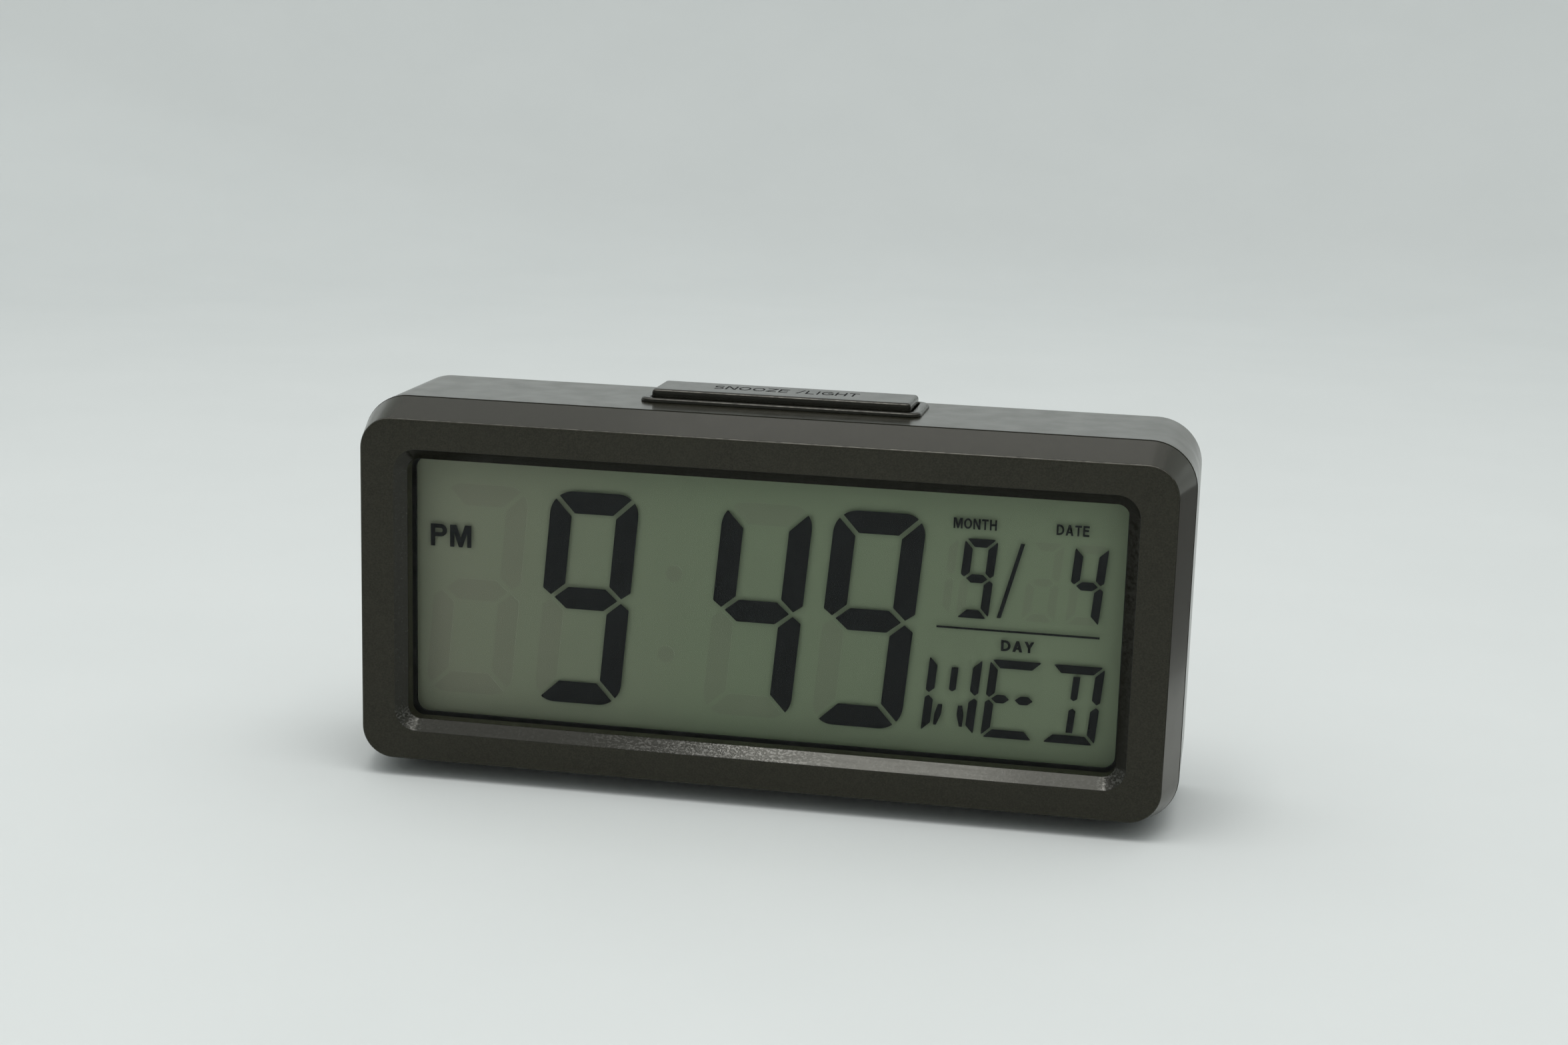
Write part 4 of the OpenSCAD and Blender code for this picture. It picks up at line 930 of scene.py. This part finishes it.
def make_display_cell():
    """The two glasses and the front film as one laminated pane; its back face is the grey-green film."""
    film_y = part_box("front_polarizer")[0].y - FRONT_Y
    glass_low, glass_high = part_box("lcd_front_glass")
    rear_low, rear_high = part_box("lcd_rear_glass")
    half_w = rear_high.x
    half_h = (rear_high.z - rear_low.z) / 2
    centre = (rear_high.z + rear_low.z) / 2 - MID_Z
    edge = 0.12 * MM
    path = [(-edge, film_y), (0, film_y + edge), (0, FILM_Y - FRONT_Y)]
    bm = bmesh.new()
    base = (half_w, half_h, 0.3 * MM)
    faces = add_loft(bm, rings(base, path, lambda u, v, d: from_front(u, v + centre, d)))
    faces[-1].material_index = 1
    drop = (glass_high.z - glass_low.z) / 2 - half_h
    ledge = [(0, glass_low.y - FRONT_Y), (0, glass_high.y - FRONT_Y)]
    ledge_v = glass_low.z - MID_Z + drop
    base = (half_w, drop - 0.02 * MM, 0.2 * MM)
    add_loft(bm, rings(base, ledge, lambda u, v, d: from_front(u, v + ledge_v, d)))
    pane = new_object("display_pane", bm, [LOOKS["display_glass"], LOOKS["reflector"]], smooth=20)
    return stand_for(pane, "root", "front_polarizer", "lcd_front_glass", "lcd_rear_glass",
                     slot="display_glass")


# Seven-segment figures, in millimetres: half width, half height, bar thickness, gap, outer corner radius.
DIGIT = {"w": 8.135, "h": 19.655, "t": 4.0, "g": 0.86, "r": 4.0}
SMALL = {"w": 2.87, "h": 7.125, "t": 1.5, "g": 0.5, "r": 0.9}
LEAN = math.tan(math.radians(5))


def bar(which, w, h, t, g, r):
    """Corner points of one bar, a to g, of a seven-segment figure centred on the origin."""
    k = g / math.sqrt(2)
    u = (k + math.sqrt(2 * r * r - k * k)) / 2
    if which in "ad":
        a = math.degrees(math.atan2(u, k - u))
        points = [(w - t - k, h - t), (t + k - w, h - t), *arc(r - w, h - r, r, a, 90),
                  *arc(w - r, h - r, r, 90, 180 - a)]
        flip = (1, 1 if which == "a" else -1)
    elif which == "g":
        x = w - 0.4 * t - 0.8 * g
        points = [(-x, 0), (0.6 * t - x, t / 2), (x - 0.6 * t, t / 2), (x, 0), (x - 0.6 * t, -t / 2),
                  (0.6 * t - x, -t / 2)]
        flip = (1, 1)
    else:
        a = math.degrees(math.atan2(u - k, -u))
        low = g / 2
        points = [(t - w, h - t - k), (t - w, low + 0.54 * t), (0.4 * t - w, low), (-w, low + 0.3 * t),
                  *arc(r - w, h - r, r, 180, a)]
        flip = (1 if which in "fe" else -1, 1 if which in "fb" else -1)
    return [(flip[0] * x, flip[1] * z) for x, z in points]


def add_plate(bm, points, y_low, y_high):
    """Flat plate with the outline points (u, v), in millimetres, between two depths."""
    front = [bm.verts.new(from_front(u * MM, v * MM, y_low - FRONT_Y)) for u, v in points]
    back = [bm.verts.new(from_front(u * MM, v * MM, y_high - FRONT_Y)) for u, v in points]
    count = len(points)
    bm.faces.new(front)
    bm.faces.new(back)
    for k in range(count):
        bm.faces.new((front[k], front[(k + 1) % count], back[(k + 1) % count], back[k]))


def make_idle_segments():
    """The bars that are not switched on, which show faintly."""
    y_high = FILM_Y + 0.01 * MM
    y_low = FILM_Y - 0.02 * MM
    bm = bmesh.new()
    time_v = -0.74
    date_v = 8.2
    figures = [(-53.0, time_v, "abcdeg", DIGIT), (-32.32, time_v, "e", DIGIT), (-0.83, time_v, "ade", DIGIT),
               (19.25, time_v, "e", DIGIT), (38.1, date_v, "e", SMALL), (57.24, date_v, "ade", SMALL),
               (49.6, date_v, "abcdeg", SMALL), (31.2, date_v, "bc", SMALL)]
    for u, v, bars, size in figures:
        for which in bars:
            points = [(u + x + LEAN * z, v + z) for x, z in bar(which, **size)]
            add_plate(bm, points, y_low, y_high)
    colon_dots = ((-16.2, 5.0), (-17.4, -10.0))
    for u, v in colon_dots:
        add_plate(bm, arc(u, v, 1.55, 0, 345, 23), y_low, y_high)
    idle = new_object("idle_segments", bm, [IDLE_INK], smooth=20)
    return stand_for(idle, "root", slot="reflector")


def make_legends():
    """Fixed words printed among the segments, each in its box from (u0, v0) to (u1, v1) in millimetres."""
    thick = segment_high.y - segment_low.y
    words = (("PM", -61.56, -53.9, 7.17, 11.25, 0.185), ("MONTH", 33.64, 41.18, 16.98, 18.86, 0.185),
             ("DATE", 51.52, 57.16, 16.98, 18.86, 0.185), ("DAY", 42.89, 48.68, -4.43, -2.45, 0.21))
    for text, u0, u1, v0, v1, weight in words:
        legend = lettering(f"legend_{text.lower()}", text, LOOKS["segment_ink"],
                           lambda u, v, d: from_front(u, v, segment_low.y - FRONT_Y + d),
                           u0 * MM, u1 * MM, v0 * MM, v1 * MM, thick, weight)
        stand_for(legend, "root", slot="segment_ink")


make_display_cell()
make_idle_segments()
make_legends()

# ---------- stage, light and camera ----------


def make_stage():
    """Round pale floor that curves up into a low wall on every side, solid only from above."""
    paper_dark = (0.702, 0.724, 0.717)
    paper_light = (0.717, 0.738, 0.731)
    look = Look("pale_paper", 0.9, ior=1.08)
    colour = look.blend(look.between(look.noise(60 * MM, 3), 0.3, 0.7), paper_dark, paper_light)
    look.finish(colour, None, look.bump(look.noise(0.6 * MM, 3), 0.01 * MM))
    shell = look.add("ShaderNodeBsdfTransparent")
    side = look.add("ShaderNodeNewGeometry")
    both = look.add("ShaderNodeMixShader")
    look.join(side.outputs["Backfacing"], both.inputs[0])
    look.join(look.shader.outputs[0], both.inputs[1])
    look.join(shell.outputs[0], both.inputs[2])
    look.join(both.outputs[0], look.tree.nodes["Material Output"].inputs["Surface"])
    floor_r = 0.75
    curve_r = 0.55
    wall_h = 1.0
    sides = 96
    profile = [(0.02, 0), (0.3, 0), (floor_r, 0)]
    for degrees in range(6, 91, 6):
        a = math.radians(degrees)
        profile.append((floor_r + curve_r * math.sin(a), curve_r * (1 - math.cos(a))))
    profile.append((floor_r + curve_r, wall_h))
    bm = bmesh.new()
    turns = [2 * math.pi * k / sides for k in range(sides)]
    circles = [[bm.verts.new((r * math.cos(a), r * math.sin(a), z)) for a in turns] for r, z in profile]
    bm.faces.new(circles[0])
    for a, b in zip(circles, circles[1:]):
        for k in range(sides):
            bm.faces.new((a[k], b[k], b[(k + 1) % sides], a[(k + 1) % sides]))
    mesh = bpy.data.meshes.new("floor")
    bm.to_mesh(mesh)
    bm.free()
    mesh.materials.append(look.material)
    mesh.shade_smooth()
    floor = bpy.data.objects.new("floor", mesh)
    bpy.context.scene.collection.objects.link(floor)


def add_softbox(name, position, target, width, height, radiance, colour=(1, 1, 1)):
    """Rectangular area light aimed at target; its power follows from its size and radiance."""
    data = bpy.data.lights.new(name, "AREA")
    data.shape = "RECTANGLE"
    data.size = width
    data.size_y = height
    data.energy = radiance * math.pi * width * height
    data.color = colour
    light = bpy.data.objects.new(name, data)
    bpy.context.scene.collection.objects.link(light)
    light.location = position
    light.rotation_mode = "QUATERNION"
    light.rotation_quaternion = (Vector(target) - Vector(position)).to_track_quat("-Z", "Y")
    light.visible_camera = False


def make_flag():
    """Grey cloth on the right that only reflections see; it keeps the bezel's right edge from glaring."""
    above_floor = 3 * MM
    corners = ((0.105, -0.03), (0.5, -0.03), (0.6, 0.5), (0.22, 0.5))
    bm = bmesh.new()
    bm.faces.new([bm.verts.new((x, y, above_floor)) for x, y in corners])
    cloth = moulded_plastic("grey_cloth", (0.15, 0.15, 0.15), (0.21, 0.21, 0.21), 0.95)
    flag = new_object("flag", bm, [cloth])
    flag.visible_camera = False
    flag.visible_diffuse = False
    flag.visible_shadow = False


def make_light():
    """Three softboxes overhead and two behind the clock, which set the tones of its top and upper taper."""
    warm = (1.0, 1.0, 0.985)
    add_softbox("ceiling", (0.0, -0.1, 1.1), (0, -0.1, 0), 1.5, 1.2, 0.62, warm)
    add_softbox("key", (0.085, -0.24, 1.0), (0.085, -0.24, 0), 0.6, 0.42, 2.3, warm)
    add_softbox("lamp", (-0.13, -0.24, 0.99), (-0.13, -0.24, 0), 0.17, 0.42, 2.9, warm)
    add_softbox("rear_high", (-0.06, 0.72, 0.74), (0, 0, 0.06), 0.42, 0.4, 0.2, (1.0, 0.98, 0.95))
    add_softbox("rear_strip", (0.0, 0.84, 0.27), (0, 0, 0.07), 1.5, 0.18, 0.24, (0.9, 0.98, 1.0))
    world = bpy.data.worlds.new("room")
    world.use_nodes = True
    background = world.node_tree.nodes["Background"]
    background.inputs["Color"].default_value = (0.97, 1.0, 1.0, 1)
    background.inputs["Strength"].default_value = 0.69
    bpy.context.scene.world = world
    bpy.context.scene.view_settings.view_transform = "Standard"


def make_camera():
    """Camera to the right of and above the clock, turned a little about its own axis."""
    azimuth = math.radians(10.761)
    elevation = math.radians(12.185)
    roll = math.radians(1.625)
    look_at = Vector((5.007, -18.45, 52.389)) * MM
    distance_mm = 418.4
    data = bpy.data.cameras.new("camera")
    data.lens = 55.5
    data.sensor_width = 36
    data.clip_start = 0.01
    camera = bpy.data.objects.new("camera", data)
    bpy.context.scene.collection.objects.link(camera)
    toward = Vector((-math.sin(azimuth) * math.cos(elevation), math.cos(azimuth) * math.cos(elevation),
                     -math.sin(elevation)))
    camera.location = look_at - toward * distance_mm * MM
    camera.rotation_mode = "QUATERNION"
    turn = Matrix.Rotation(roll, 3, "Z").to_quaternion()
    camera.rotation_quaternion = toward.to_track_quat("-Z", "Y") @ turn
    bpy.context.scene.camera = camera


make_stage()
make_flag()
make_light()
make_camera()
